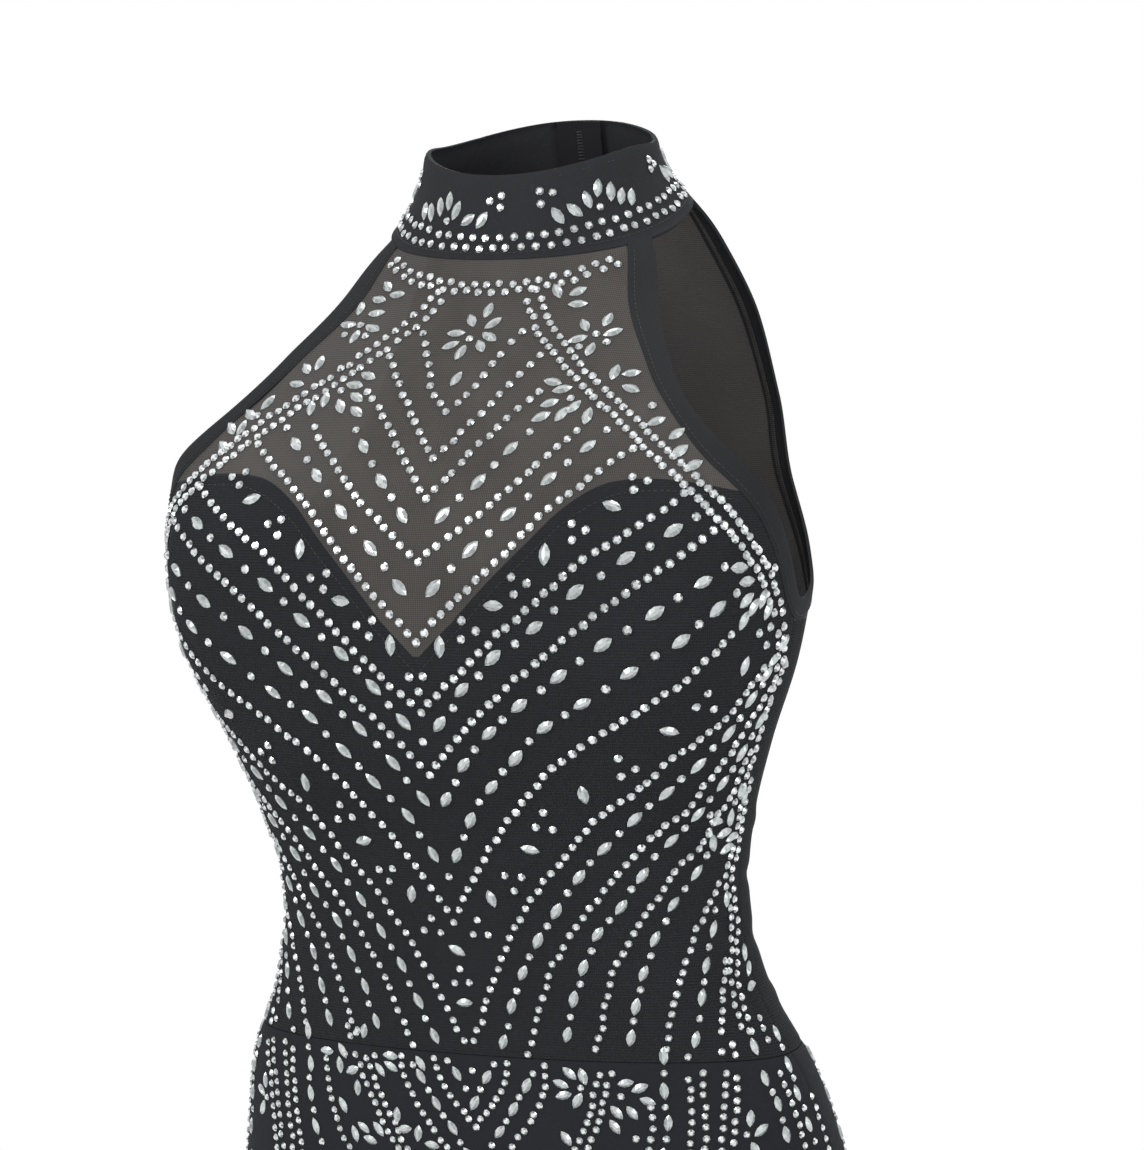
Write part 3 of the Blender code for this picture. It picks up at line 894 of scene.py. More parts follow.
@dataclass(frozen=True)
class ClothFinish(Finish):
    """A close cloth: its colour, how rough it is, and its face."""

    name: str
    colour: Colour
    face: EffectGroup
    pitch: float
    roughness: float = 0.8
    bump: float = 0.0002
    contrast: float = 0.5
    sheen: float = 0.0
    lint: float = 0.25
    dust_gain: float = 4.0

    def draw(self, canvas: Canvas) -> dict[str, object]:
        """Changes the colour by tone and dust; the cloth's face gives shade and bump.

        Args:
            canvas: The material's canvas.

        Returns:
            The shader's inputs.
        """
        face = self.face.place(canvas, pitch=self.pitch)
        tone = CLOTH_TONE.place(canvas, lint=self.lint)
        shade = canvas.swing(face.outputs["Shade"], self.contrast)
        base = canvas.scaled(self.colour, canvas.maths("MULTIPLY", shade, tone.outputs["Tone"]))
        dust = tuple(self.dust_gain * part for part in self.colour)
        return {
            "Base Color": canvas.blend(tone.outputs["Dust"], base, (*dust, 1)),
            "Normal": canvas.bump(face.outputs["Height"], self.bump, 0.8),
            "Roughness": canvas.maths("MULTIPLY_ADD", tone.outputs["Tone"], 0.2,
                                      self.roughness - 0.2),
            "Sheen Weight": self.sheen,
            "Specular IOR Level": 0.12,
        }


@dataclass(frozen=True)
class NetFinish(Finish):
    """A see-through stretch net: its colour alone and over the lining, and its mesh."""

    name: str
    colour: Colour
    lined: Colour
    pitch: float = 0.0018
    mesh_depth: float = 5.0
    rib_pitch: float = 0.00140
    rib_depth: float = 0.34
    cover: float = 0.90
    contrast: float = 0.08
    roughness: float = 0.9
    edge_blur: float = 0.0004

    def draw(self, canvas: Canvas) -> dict[str, object]:
        """Takes alpha and bump from the mesh, and colour and ribs from the lining under it.

        Args:
            canvas: The material's canvas.

        Returns:
            The shader's inputs.
        """
        cover = NET_HOLES.place(canvas, pitch=self.pitch, thread=self.cover,
                                contrast=self.contrast).outputs["Cover"]
        tone = CLOTH_TONE.place(canvas, lint=0.05).outputs["Tone"]
        ribs = RIB_KNIT.place(canvas, pitch=self.rib_pitch)
        alone = canvas.clamp(canvas.maths("MULTIPLY_ADD", canvas.read(NET_MARK),
                                          1 / self.edge_blur, 0.5))
        rib_shade = canvas.swing(ribs.outputs["Shade"], self.rib_depth)
        mesh_shade = canvas.swing(cover, self.mesh_depth, self.cover)
        colours = [canvas.scaled(colour, canvas.maths("MULTIPLY", shade, tone))
                   for colour, shade in ((self.lined, rib_shade), (self.colour, mesh_shade))]
        rib_height = canvas.maths("MULTIPLY", ribs.outputs["Height"], self.rib_depth)
        height = canvas.add("ShaderNodeMix", {0: alone, 2: rib_height, 3: cover}).outputs[0]
        return {
            "Base Color": canvas.blend(alone, *colours),
            "Alpha": cover,
            "Normal": canvas.bump(height, 0.00015, 0.6),
            "Roughness": self.roughness,
            "Specular IOR Level": 0.1,
        }


@dataclass(frozen=True)
class StoneFinish(Finish):
    """A backed glass stone under a clear, polished face, with a painted highlight or a painted
    shade on each facet in place of its reflections.
    """

    name: str
    dark: Colour
    light: Colour
    metallic: float
    roughness: float
    coat_weight: float
    cloud_scale: float = 700.0

    def draw(self, canvas: Canvas) -> dict[str, object]:
        """Paints each facet's highlight or shade as its own brightness, clouded a little by noise.

        Args:
            canvas: The material's canvas.

        Returns:
            The shader's inputs.
        """
        cloud = canvas.maths("SUBTRACT", canvas.noise(canvas.in_piece(), self.cloud_scale), 0.5)
        # Painted highlight and shade: each facet's own brightness, read from its facet attribute,
        # mixes the dark and light colours.
        level = canvas.clamp(canvas.maths("MULTIPLY_ADD", cloud, 0.5, canvas.read("facet")))
        return {
            "Base Color": canvas.blend(level, (*self.dark, 1), (*self.light, 1)),
            "Roughness": canvas.maths("MULTIPLY_ADD", cloud, 0.06, self.roughness),
            "Metallic": self.metallic,
            "Coat Weight": self.coat_weight,
            "Coat Roughness": 0.04,
        }


@dataclass(frozen=True)
class MetalFinish(Finish):
    """Dark paint on a small metal part."""

    name: str
    paint: Colour
    bare: Colour
    wear: float = 0.5

    def draw(self, canvas: Canvas) -> dict[str, object]:
        """Shows the metal at rubbed edges, and changes the gloss by scratches.

        Args:
            canvas: The material's canvas.

        Returns:
            The shader's inputs.
        """
        rub = RUBBED_METAL.place(canvas, wear=self.wear)
        scratch = rub.outputs["Scratch"]
        return {
            "Base Color": canvas.blend(rub.outputs["Bare"], (*self.paint, 1), (*self.bare, 1)),
            "Roughness": canvas.maths("MULTIPLY_ADD", scratch, 0.25, 0.22),
            "Normal": canvas.bump(scratch, 0.00002, 0.6),
            "Metallic": 1.0,
        }


@dataclass(frozen=True)
class ThreadFinish(Finish):
    """Sewing thread, twisted from fine filaments."""

    name: str
    colour: Colour
    twist: float = 160.0

    def draw(self, canvas: Canvas) -> dict[str, object]:
        """Shades the thread by slanting waves for its twist.

        Args:
            canvas: The material's canvas.

        Returns:
            The shader's inputs.
        """
        inputs = {"Vector": canvas.in_piece(), "Scale": self.twist, "Distortion": 1.5}
        wave = canvas.add("ShaderNodeTexWave", inputs, bands_direction="DIAGONAL").outputs["Fac"]
        return {
            "Base Color": canvas.scaled(self.colour,
                                        canvas.maths("MULTIPLY_ADD", wave, 0.8, 0.6)),
            "Normal": canvas.bump(wave, 0.00005, 0.7),
            "Roughness": 0.6,
            "Sheen Weight": 0.2,
        }


NET = NetFinish("net_finish", (0.0735, 0.0685, 0.0640), (0.0212, 0.0226, 0.0250))
LINING = ClothFinish("lining_finish", (0.0180, 0.0190, 0.0215), RIB_KNIT, 0.00115,
                     contrast=0.7, bump=0.0003)
JERSEY = ClothFinish("jersey_finish", (0.0157, 0.0168, 0.0194), JERSEY_FACE, 0.0007,
                     bump=0.0001)
# The collar is of the skirt's jersey, with a lighter colour: painted light, in place of the light
# that the upright collar catches.
COLLAR_PAINTED_LIGHT_JERSEY = ClothFinish("collar_finish", (0.0215, 0.0222, 0.0248), JERSEY_FACE, 0.0007,
                            bump=0.0001)
BINDING = ClothFinish("binding_finish", (0.0178, 0.0188, 0.0206), JERSEY_FACE, 0.0006,
                      roughness=0.75, bump=0.00008, lint=0.1)
TAPE = ClothFinish("tape_finish", (0.0130, 0.0130, 0.0150), RIB_KNIT, 0.0008,
                   roughness=0.75, sheen=0.1)
# The stones' dark and light colours are a painted shade and a painted highlight, mixed facet by
# facet in place of the stones' reflections.
ROUND_STONE = StoneFinish("round_stone_finish", (0.06, 0.065, 0.07), (0.84, 0.87, 0.87),
                          0.60, 0.14, 0.6)
LONG_STONE = StoneFinish("long_stone_finish", (0.18, 0.195, 0.195), (0.62, 0.66, 0.66),
                         0.30, 0.20, 1.0)
ZIP_METAL = MetalFinish("zip_metal_finish", (0.020, 0.020, 0.023), (0.42, 0.41, 0.40))
THREAD = ThreadFinish("thread_finish", (0.015, 0.015, 0.017))
TOOTH = ThreadFinish("zip_tooth_finish", (0.016, 0.016, 0.018))


@dataclass
class Rows:
    """Arcs and heights of a cloth piece's points, low row first.

    Where a piece runs past the centre back, the arcs go on from the other side, and the flat
    ones don't.
    """

    arcs: Array
    heights: Array
    flat: Array | None = None

    def __post_init__(self) -> None:
        """Takes the arcs as the flat ones where none are given."""
        if self.flat is None:
            self.flat = self.arcs

    @classmethod
    def level(cls, heights: Array, starts: Array, ends: Array, columns: int) -> Rows:
        """Makes level rows, with columns a little closer together near the edges.

        Args:
            heights: The height of each row.
            starts: The arc where each row starts.
            ends: The arc where it ends.
            columns: How many points it has.

        Returns:
            The rows.
        """
        share = (1 - np.cos(np.linspace(0, pi, columns))) / 2
        share = 0.25 * share + 0.75 * np.linspace(0, 1, columns)
        arcs = starts[:, None] + (ends - starts)[:, None] * share[None, :]
        return cls(arcs, np.broadcast_to(heights[:, None], arcs.shape).copy())

    def mirrored(self) -> Rows:
        """The rows on the wearer's other side."""
        return Rows(-self.arcs[:, ::-1], self.heights[:, ::-1])

    def wrapped(self, form: Form) -> Rows:
        """Takes the arcs past the centre back on from the other side.

        Args:
            form: The form that the rows lie on.

        Returns:
            The new rows.
        """
        whole = np.array([2 * form.row(height)[-1] for height in self.heights[:, 0]])[:, None]
        arcs = np.where(self.arcs > whole / 2, self.arcs - whole, self.arcs)
        return Rows(arcs, self.heights, self.arcs)

    def edge_distance(self) -> Array:
        """Measures how far each point lies from the nearest edge of the piece.

        Returns:
            The distances, in metres.
        """
        beside = np.minimum(np.abs(self.flat - self.flat[:, :1]),
                            np.abs(self.flat - self.flat[:, -1:]))
        under = np.minimum(np.abs(self.heights - self.heights[:1]),
                           np.abs(self.heights - self.heights[-1:]))
        return np.minimum(beside, under)


class Hold(Enum):
    """How a cloth piece is held."""

    STRETCHED = "stretched"
    HUNG = "hung"


@dataclass
class ClothPiece:
    """A cut piece of cloth with a real wall, in place of its plain node."""

    name: str
    node: str
    slot: str
    finish: Finish
    form: Form
    rows: Rows
    wall: float
    out: float = 0.0
    creases: tuple[Crease, ...] = ()
    hold: Hold = Hold.STRETCHED
    hangs_from: tuple[str, ...] = ()
    edge_roll: float = 0.0004
    edge_width: float = 0.0014
    extra: Callable[[Array, Array], Array] | None = None
    above_lining: Array | None = None
    sharp: float = radians(60)
    least_fill: float = 0.3

    def outward(self) -> Array:
        """Works out how far each point stands off the form.

        Returns:
            The distances, in metres.
        """
        rows = self.rows
        out = self.out + relief(self.creases, rows.arcs, rows.heights)
        out = out - self.edge_roll * np.exp(-((rows.edge_distance() / self.edge_width) ** 2))
        if self.extra:
            out = out + self.extra(rows.arcs, rows.heights)
        return out

    def build(self) -> None:
        """Makes the closed shell, its UV map and its finish, hides its plain node and hangs it
        from the root.
        """
        rows = self.rows
        angle = self.form.angle(rows.arcs, rows.heights)
        normal = self.form.normals(angle, rows.heights)
        base = self.form.point(angle, rows.heights)
        off = self.outward()[..., None]
        outer = base + normal * off
        mesh = self.shell(outer, base + normal * (off - self.wall))
        obj = add_object(self.name, mesh)
        self.finish.coat(obj)
        if self.node:
            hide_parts(self.node)
        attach(obj, "root")

    def shell(self, outer: Array, inner: Array) -> bpy.types.Mesh:
        """A closed wall between two grids of points.

        Args:
            outer: Points of the outer face, low row first, left to right from outside.
            inner: Points of the inner face, in the same order.

        Returns:
            The mesh, with its UV map and sharp edges.
        """
        tall, wide = outer.shape[:2]
        count = tall * wide
        index = np.arange(count).reshape(tall, wide)
        a, b, c, d = index[:-1, :-1], index[:-1, 1:], index[1:, 1:], index[1:, :-1]
        outside = np.stack([a, b, c, d], axis=-1).reshape(-1, 4)
        inside = outside[:, ::-1] + count
        rim = np.concatenate([index[0, :-1], index[:-1, -1], index[-1, :0:-1], index[:0:-1, 0]])
        following = np.roll(rim, -1)
        sides = np.stack([following, rim, rim + count, following + count], axis=-1)
        faces = np.concatenate([outside, inside, sides])
        points = np.concatenate([outer.reshape(-1, 3), inner.reshape(-1, 3)])
        mesh = bpy.data.meshes.new(self.name)
        mesh.from_pydata(points.tolist(), [], faces.tolist())
        place = np.stack([self.rows.flat, self.rows.heights], axis=-1).reshape(-1, 2)
        place = np.concatenate([place, place])
        layer = mesh.uv_layers.new(name=UV_LAYER)
        layer.data.foreach_set("uv", place[faces.reshape(-1)].astype(np.float32).reshape(-1))
        if self.above_lining is not None:
            mark = mesh.attributes.new(NET_MARK, "FLOAT", "POINT")
            once = self.above_lining.astype(np.float32).reshape(-1)
            mark.data.foreach_set("value", np.concatenate([once, once]))
        mesh.shade_smooth()
        mesh.set_sharp_from_angle(angle=self.sharp)
        return mesh


@dataclass
class Bodice:
    """The see-through net, the lining under it and the bindings of the armholes."""

    cut: Cut
    front_columns: int = 150
    back_columns: int = 60
    high_rows: int = 70
    low_rows: int = 90
    side_rows: int = 16
    binding_columns: int = 9
    binding_crown: float = 0.0004
    binding_drop: float = 0.0002

    def level_rows(self, heights: Array, start: Callable[[float], float],
                   end: Callable[[float], float], columns: int) -> Rows:
        """Level rows, low row first, between two edges whose arcs are read at each height."""
        starts, ends = (np.array([edge(height) for height in heights]) for edge in (start, end))
        return Rows.level(heights, starts, ends, columns)

    def front_edge(self, height: float) -> float:
        """The arc of the front's edge on the wearer's left."""
        return self.cut.limit(height, -1)

    def back_edge(self, height: float) -> float:
        """The arc of the back's edge at the side."""
        return self.cut.limit(height, 1)

    def centre_back(self, height: float) -> float:
        """The arc of the back's edge beside the zip."""
        return self.cut.back_arc(height) - self.cut.seam_gap / 2

    def lining_rows(self) -> Rows:
        """Lays out the front lining, whose top rows follow its sweetheart edge.

        Returns:
            Its rows.
        """
        cut = self.cut
        side = cut.levels(SWEETHEART[-1].height, self.side_rows, self.low_rows)
        places = ((side - side[0]) / (side[-1] - side[0]))[::-1]
        share = np.linspace(0, 1, self.front_columns)
        top = cut.sweetheart(share)
        heights = top[None, :] * (1 - places[:, None]) + side[-1] * places[:, None]
        limits = np.vectorize(self.front_edge)(heights)
        return Rows(limits * (2 * share - 1)[None, :], heights)

    def build(self) -> None:
        """Makes every piece of the bodice."""
        cut = self.cut
        under = -cut.net_wall - cut.layer_gap
        outer = cut.levels(cut.neck_seam - cut.neck_gap, self.high_rows, self.low_rows)[::-1]
        rows = self.level_rows(outer, lambda h: -cut.limit(h, -1, True),
                               lambda h: cut.limit(h, -1, True), self.front_columns)
        limits = np.array([self.front_edge(height) for height in rows.heights[:, 0]])[:, None]
        share = np.clip((rows.arcs / limits + 1) / 2, 0, 1)
        ClothPiece("front_net", "front_bodice", "net", NET, cut.body, rows, cut.net_wall,
                   creases=BODICE_CREASES, hangs_from=("collar_cloth",),
                   above_lining=rows.heights - cut.sweetheart(share)).build()
        ClothPiece("front_lining_cloth", "front_lining", "lining", LINING, cut.body,
                   self.lining_rows(), cut.lining_wall, under, BODICE_CREASES,
                   hangs_from=("front_net",), edge_roll=0.0).build()
        low = cut.levels(cut.binding_low, 0, self.low_rows)[cut.turn_rows - 1:][::-1]
        net = self.level_rows(outer, lambda h: cut.limit(h, 1, True), self.centre_back,
                              self.back_columns)
        lining = self.level_rows(low, self.back_edge, self.centre_back, self.back_columns)
        for side in ("left", "right"):
            if side == "right":
                net, lining = net.mirrored(), lining.mirrored()
            ClothPiece(f"back_net_{side}", f"back_bodice_{side}", "net", NET, cut.body, net,
                       cut.net_wall, 0.0, BACK_CREASES, hangs_from=("collar_cloth",),
                       above_lining=net.heights - cut.binding_low).build()
            ClothPiece(f"back_lining_cloth_{side}", f"back_lining_{side}", "lining", LINING,
                       cut.body, lining, cut.lining_wall, under, BACK_CREASES,
                       hangs_from=("collar_cloth",), edge_roll=0.0).build()
            self.binding(side)

    def binding(self, side: str) -> None:
        """Makes the band round one armhole, rounded over its edges.

        Args:
            side: Which armhole, left or right.
        """
        cut = self.cut
        shares = np.linspace(1, 0, self.binding_columns)[:, None, None]
        path = cut.armhole * (1 - shares) + cut.binding_inner * shares
        heights = np.minimum(path[..., 1], cut.neck_seam - cut.binding_top_gap)
        rows = Rows(path[..., 0] + np.vectorize(cut.side_arc)(heights), heights)
        if side == "right":
            rows = rows.mirrored()
        bulge = np.sin(pi * np.linspace(0, 1, self.binding_columns)) ** 0.5
        crown = self.binding_crown * bulge[:, None] * np.ones_like(rows.arcs)
        ClothPiece(f"armhole_binding_cloth_{side}", f"armhole_binding_{side}", "binding", BINDING,
                   cut.body, rows, cut.binding_wall, cut.proud - self.binding_drop,
                   hangs_from=("front_net",), edge_roll=0.0,
                   extra=lambda arc, height: crown).build()


class Gather(NamedTuple):
    """A small ridge or trough at the collar's top: its arc, width and depth, in millimetres."""

    arc: float
    width: float
    depth: float


@dataclass
class Collar:
    """The stand collar, slightly gathered under its top edge."""

    cut: Cut
    columns: int = 340
    row_count: int = 26
    edge_roll: float = 0.0003
    gather_foot: float = 0.004
    gather_lean: float = 3.0
    fold_rise: float = 0.0003
    fold_drop: float = 0.003
    fold_width: float = 0.0035
    gathers: tuple[Gather, ...] = tuple(Gather(*row) for row in (
        (30, 1.4, -0.45), (36, 1.1, 0.35), (42, 1.5, -0.5), (49, 1.2, 0.4), (56, 1.6, -0.5),
        (63, 1.3, 0.35), (-58, 1.5, -0.35), (-66, 1.4, 0.3), (112, 1.6, -0.4), (-120, 1.8, -0.4),
        (150, 1.6, 0.35), (-160, 1.7, -0.35),
    ))

    def ease(self, arc: Array, height: Array) -> Array:
        """Reads the gathers, which fade down from the top edge, and the fold of that edge.

        Args:
            arc: Arcs of the places.
            height: Their heights.

        Returns:
            How far the cloth moves out.
        """
        fade = np.clip((height - self.gather_foot) / (COLLAR_TOP - self.gather_foot), 0, 1)
        fold = (COLLAR_TOP - height - self.fold_drop) / self.fold_width
        total = self.fold_rise * np.exp(-(fold ** 2))
        for gather in self.gathers:
            aside = arc / MM - gather.arc - self.gather_lean * (1 - fade)
            total = total + gather.depth * MM * fade * np.exp(-((aside / gather.width) ** 2))
        return total

    def build(self) -> None:
        """Makes the collar."""
        cut = self.cut
        low = cut.neck_seam - cut.collar.lap
        place = np.linspace(0, 1, self.row_count)
        heights = low + (COLLAR_TOP - low) * (0.5 * place + 0.5 * (1 - np.cos(pi * place)) / 2)
        base = cut.collar.row(cut.neck_seam)
        end = float(np.interp(base[-1] - cut.seam_gap / 2, base, cut.collar.angles))
        ends = np.array([cut.collar.arc_at(end, height) for height in heights])
        # The collar's jersey colour is painted lighter, as painted light.
        ClothPiece("collar_cloth", "collar", "jersey", COLLAR_PAINTED_LIGHT_JERSEY, cut.collar,
                   Rows.level(heights, -ends, ends, self.columns), cut.collar_wall, cut.proud,
                   edge_roll=self.edge_roll, extra=self.ease).build()


@dataclass
class Skirt:
    """The long skirt: a front and a back, joined at the sides, with a turned hem."""

    cut: Cut
    columns: int = 130
    row_count: int = 210
    row_growth: float = 1.25
    hem_depth: float = 0.020
    hem_step: float = 0.0003
    hem_blur: float = 0.0008

    def hem_fold(self, arc: Array, height: Array) -> Array:
        """The slight step where the hem's turned allowance ends."""
        above = height - self.cut.hem - self.hem_depth
        return self.hem_step / (1 + np.exp(np.clip(above / self.hem_blur, -30, 30)))

    def build(self) -> None:
        """Makes the front and the back."""
        cut = self.cut
        top = cut.waist_seam - cut.seam_gap / 2
        heights = top + (cut.hem - top) * np.linspace(0, 1, self.row_count) ** self.row_growth
        heights = heights[::-1]
        front = np.array([cut.limit(height, -1) for height in heights])
        back = np.array([cut.limit(height, 1) for height in heights])
        whole = np.array([2 * cut.back_arc(height) for height in heights])
        for name, starts, ends in (("front", -front, front), ("back", back, whole - back)):
            rows = Rows.level(heights, starts, ends, self.columns).wrapped(cut.body)
            ClothPiece(f"skirt_{name}_cloth", f"skirt_{name}", "jersey", JERSEY, cut.body, rows,
                       cut.skirt_wall, creases=SKIRT_CREASES, hold=Hold.HUNG,
                       hangs_from=("front_net",), extra=self.hem_fold).build()


@dataclass
class SeamAllowances:
    """The allowances pressed open inside the side seams, which close the seams."""

    cut: Cut
    width: float = 0.016
    wall: float = 0.0005
    clear: float = 0.0006
    end_gap: float = 0.001
    columns: int = 5
    row_count: int = 100

    def strips(self, name: str, slot: str, finish: Finish, span: tuple[float, float],
               depth: float, creases: tuple[Crease, ...], carrier: str) -> None:
        """Makes the strips inside the two side seams of one part of the dress.

        Args:
            name: The part.
            slot: The record's slot for its cloth; not used.
            finish: Its cloth's finish.
            span: The seam's highest and lowest heights.
            depth: How thick the cloth over the strips is.
            creases: The creases of that cloth.
            carrier: The piece that the strips are sewn to; not used.
        """
        heights = np.linspace(span[1] + self.end_gap, span[0] - self.end_gap, self.row_count)
        middle = np.array([self.cut.side_arc(height) for height in heights])
        for side, sign in (("left", 1), ("right", -1)):
            rows = Rows.level(heights, sign * middle - self.width / 2,
                              sign * middle + self.width / 2, self.columns)
            ClothPiece(f"{name}_seam_allowance_{side}", "", slot, finish, self.cut.body, rows,
                       self.wall, -depth - self.clear, creases, Hold.STRETCHED, (carrier,),
                       edge_roll=0.0).build()

    def build(self) -> None:
        """Makes the strips of the bodice and of the skirt."""
        cut = self.cut
        self.strips("bodice", "lining", LINING, (cut.panel_low, cut.waist_seam),
                    cut.net_wall + cut.layer_gap + cut.lining_wall, (), "front_net")
        self.strips("skirt", "jersey", JERSEY, (cut.waist_seam, cut.hem), cut.skirt_wall,
                    SKIRT_CREASES, "skirt_front_cloth")


class ScatterTree:
    """Geometry nodes that set one small shape on every point, by the point's two axes."""

    name = "Set On Cloth"
    inputs = {"Geometry": "Geometry", "Shape": "Object", "Length": "Float", "Width": "Float",
              "Rise": "Float", "Size Change": "Float", "Spin": "Float", "Seed": "Int",
              "Finish": "Material"}

    def tree(self) -> bpy.types.NodeTree:
        """Builds the tree on first use.

        Returns:
            The tree.
        """
        found = bpy.data.node_groups.get(self.name)
        if found:
            return found
        tree = bpy.data.node_groups.new(self.name, "GeometryNodeTree")
        tree.is_modifier = True
        for name, kind in self.inputs.items():
            tree.interface.new_socket(name, in_out="INPUT", socket_type=f"NodeSocket{kind}")
        tree.interface.new_socket("Geometry", in_out="OUTPUT", socket_type="NodeSocketGeometry")
        canvas = Canvas(tree)
        entry = canvas.add("NodeGroupInput").outputs
        size = self.size(canvas, entry)
        shape = canvas.add("GeometryNodeObjectInfo", {"Object": entry["Shape"]},
                           transform_space="ORIGINAL").outputs["Geometry"]
        spread = canvas.add("GeometryNodeInstanceOnPoints", {
            "Points": entry["Geometry"], "Instance": shape,
            "Rotation": self.turn(canvas, entry), "Scale": size})
        real = canvas.add("GeometryNodeRealizeInstances", {0: spread.outputs[0]})
        done = canvas.add("GeometryNodeSetMaterial", {"Geometry": real.outputs[0],
                                                      "Material": entry["Finish"]})
        canvas.add("NodeGroupOutput", {0: done.outputs[0]})
        return tree

    def read(self, canvas: Canvas, name: str, kind: str) -> Socket:
        """The value of a point's own attribute."""
        return canvas.add("GeometryNodeInputNamedAttribute", {"Name": name},
                          data_type=kind).outputs[0]

    def chance(self, canvas: Canvas, entry: Sequence[Socket], low: Socket, high: Socket) -> Socket:
        """A random number for each point, between two values."""
        return canvas.add("FunctionNodeRandomValue", {2: low, 3: high, "Seed": entry["Seed"]},
                          data_type="FLOAT").outputs[1]

    def turn(self, canvas: Canvas, entry: Sequence[Socket]) -> Socket:
        """Adds the nodes that turn each shape by its point's axes and a random spin.

        Args:
            canvas: The tree's canvas.
            entry: The tree's inputs.

        Returns:
            The rotation.
        """
        out_axis, along_axis = (self.read(canvas, name, "FLOAT_VECTOR")
                                for name in ("out_axis", "along_axis"))
        turn = canvas.add("FunctionNodeAxesToRotation", {0: out_axis, 1: along_axis},
                          primary_axis="Z", secondary_axis="X")
        spin = self.chance(canvas, entry, canvas.maths("MULTIPLY", entry["Spin"], -1.0),
                           entry["Spin"])
        about = canvas.add("FunctionNodeAxisAngleToRotation", {"Axis": (0, 0, 1), "Angle": spin})
        return canvas.add("FunctionNodeRotateRotation", {0: turn.outputs[0], 1: about.outputs[0]},
                          rotation_space="LOCAL").outputs[0]

    def size(self, canvas: Canvas, entry: Sequence[Socket]) -> Socket:
        """Adds the nodes that size each shape by the tree's inputs, its point and chance.

        Args:
            canvas: The tree's canvas.
            entry: The tree's inputs.

        Returns:
            The scale.
        """
        change = self.chance(canvas, entry, canvas.maths("SUBTRACT", 1.0, entry["Size Change"]),
                             canvas.maths("ADD", 1.0, entry["Size Change"]))
        change = canvas.maths("MULTIPLY", change, self.read(canvas, "own_size", "FLOAT"))
        size = canvas.add("ShaderNodeCombineXYZ", {0: entry["Length"], 1: entry["Width"],
                                                   2: entry["Rise"]})
        return canvas.scaled(size.outputs[0], change)


class Solid:
    """Small shapes of unit size that are set on the cloth many times."""

    @staticmethod
    def quads(rings: int, sides: int) -> list[tuple[int, ...]]:
        """Faces between rings of points that follow each other."""
        return [(row + i, row + (i + 1) % sides, row + sides + (i + 1) % sides, row + sides + i)
                for row in range(0, (rings - 1) * sides, sides) for i in range(sides)]

    @classmethod
    def loft(cls, name: str, rings: Sequence[Array], levels: Sequence[float],
             facets: Sequence[Array | float]) -> Object:
        """A closed shape through rings of points, with a painted brightness for each facet, a
        highlight or a shade in place of its reflections.

        Args:
            name: The shape's name.
            rings: Points (x, y) of each ring, low ring first, all of one count.
            levels: The height of each ring.
            facets: Painted brightness of the faces between rings and of the top, a highlight or a
                shade for each.

        Returns:
            A hidden object that holds the shape.
        """
        sides = len(rings[0])
        points = [(x, y, level) for ring, level in zip(rings, levels) for x, y in ring]
        faces = [tuple(range(sides - 1, -1, -1)), *cls.quads(len(rings), sides),
                 tuple(range(len(points) - sides, len(points)))]
        shades = [np.broadcast_to(shade, sides) for shade in facets[:-1]]
        painted_facet_light = [0.0, *np.concatenate(shades), facets[-1]]
        mesh = bpy.data.meshes.new(name)
        mesh.from_pydata(points, [], faces)
        layer = mesh.attributes.new("facet", "FLOAT", "FACE")
        layer.data.foreach_set("value", painted_facet_light)
        mesh.shade_flat()
        return bpy.data.objects.new(name, mesh)

    @classmethod
    def round_stone(cls) -> Object:
        """Makes a round stone: a low setting, eight crown facets and a flat table.

        Returns:
            A hidden object that holds it.
        """
        turn = np.arange(8) * pi / 4
        circle = np.stack([np.cos(turn), np.sin(turn)], axis=1) / 2
        # Painted highlight and shade of the eight crown facets, in place of their reflections; the
        # setting and the table get theirs in the call below.
        crown = np.array([0.95, 0.35, 0.8, 0.5, 1.0, 0.25, 0.7, 0.45])
        return cls.loft("round_stone_shape", (circle * 0.96, circle, circle * 0.56),
                        (0.0, 0.42, 1.0), (0.12, crown, 0.9))

    @classmethod
    def long_stone(cls) -> Object:
        """Makes a pointed oval stone with a narrow table and slanting facets.

        Returns:
            A hidden object that holds it.
        """
        half = np.array([(0.5, 0.0), (0.36, 0.24), (0.14, 0.43), (-0.14, 0.43), (-0.36, 0.24)])
        outline = np.concatenate([half, -half])
        # Painted highlight and shade of the ten crown facets, in place of their reflections; the
        # setting and the table get theirs in the call below.
        crown = np.array([0.35, 0.75, 1.0, 0.7, 0.9, 0.8, 0.45, 0.3, 0.5, 0.95])
        return cls.loft("long_stone_shape", (outline * 0.97, outline, outline * (0.66, 0.36)),
                        (0.0, 0.36, 1.0), (0.1, crown, 0.72))

    @classmethod
    def stitch(cls) -> Object:
        """Makes a sewn stitch that dips into the cloth at both ends.

        Returns:
            A hidden object that holds it.
        """
        cross = ((-0.5, 0.0), (0.0, -0.5), (0.5, 0.0), (0.0, 0.5))
        stations = ((-0.5, -0.9), (-0.3, 0.2), (0.0, 0.5), (0.3, 0.2), (0.5, -0.9))
        points = [(x, y, z + rise) for x, rise in stations for y, z in cross]
        faces = [*cls.quads(len(stations), 4), (3, 2, 1, 0), (16, 17, 18, 19)]
        mesh = bpy.data.meshes.new("stitch_shape")
        mesh.from_pydata(points, [], faces)
        mesh.shade_smooth()
        return bpy.data.objects.new("stitch_shape", mesh)


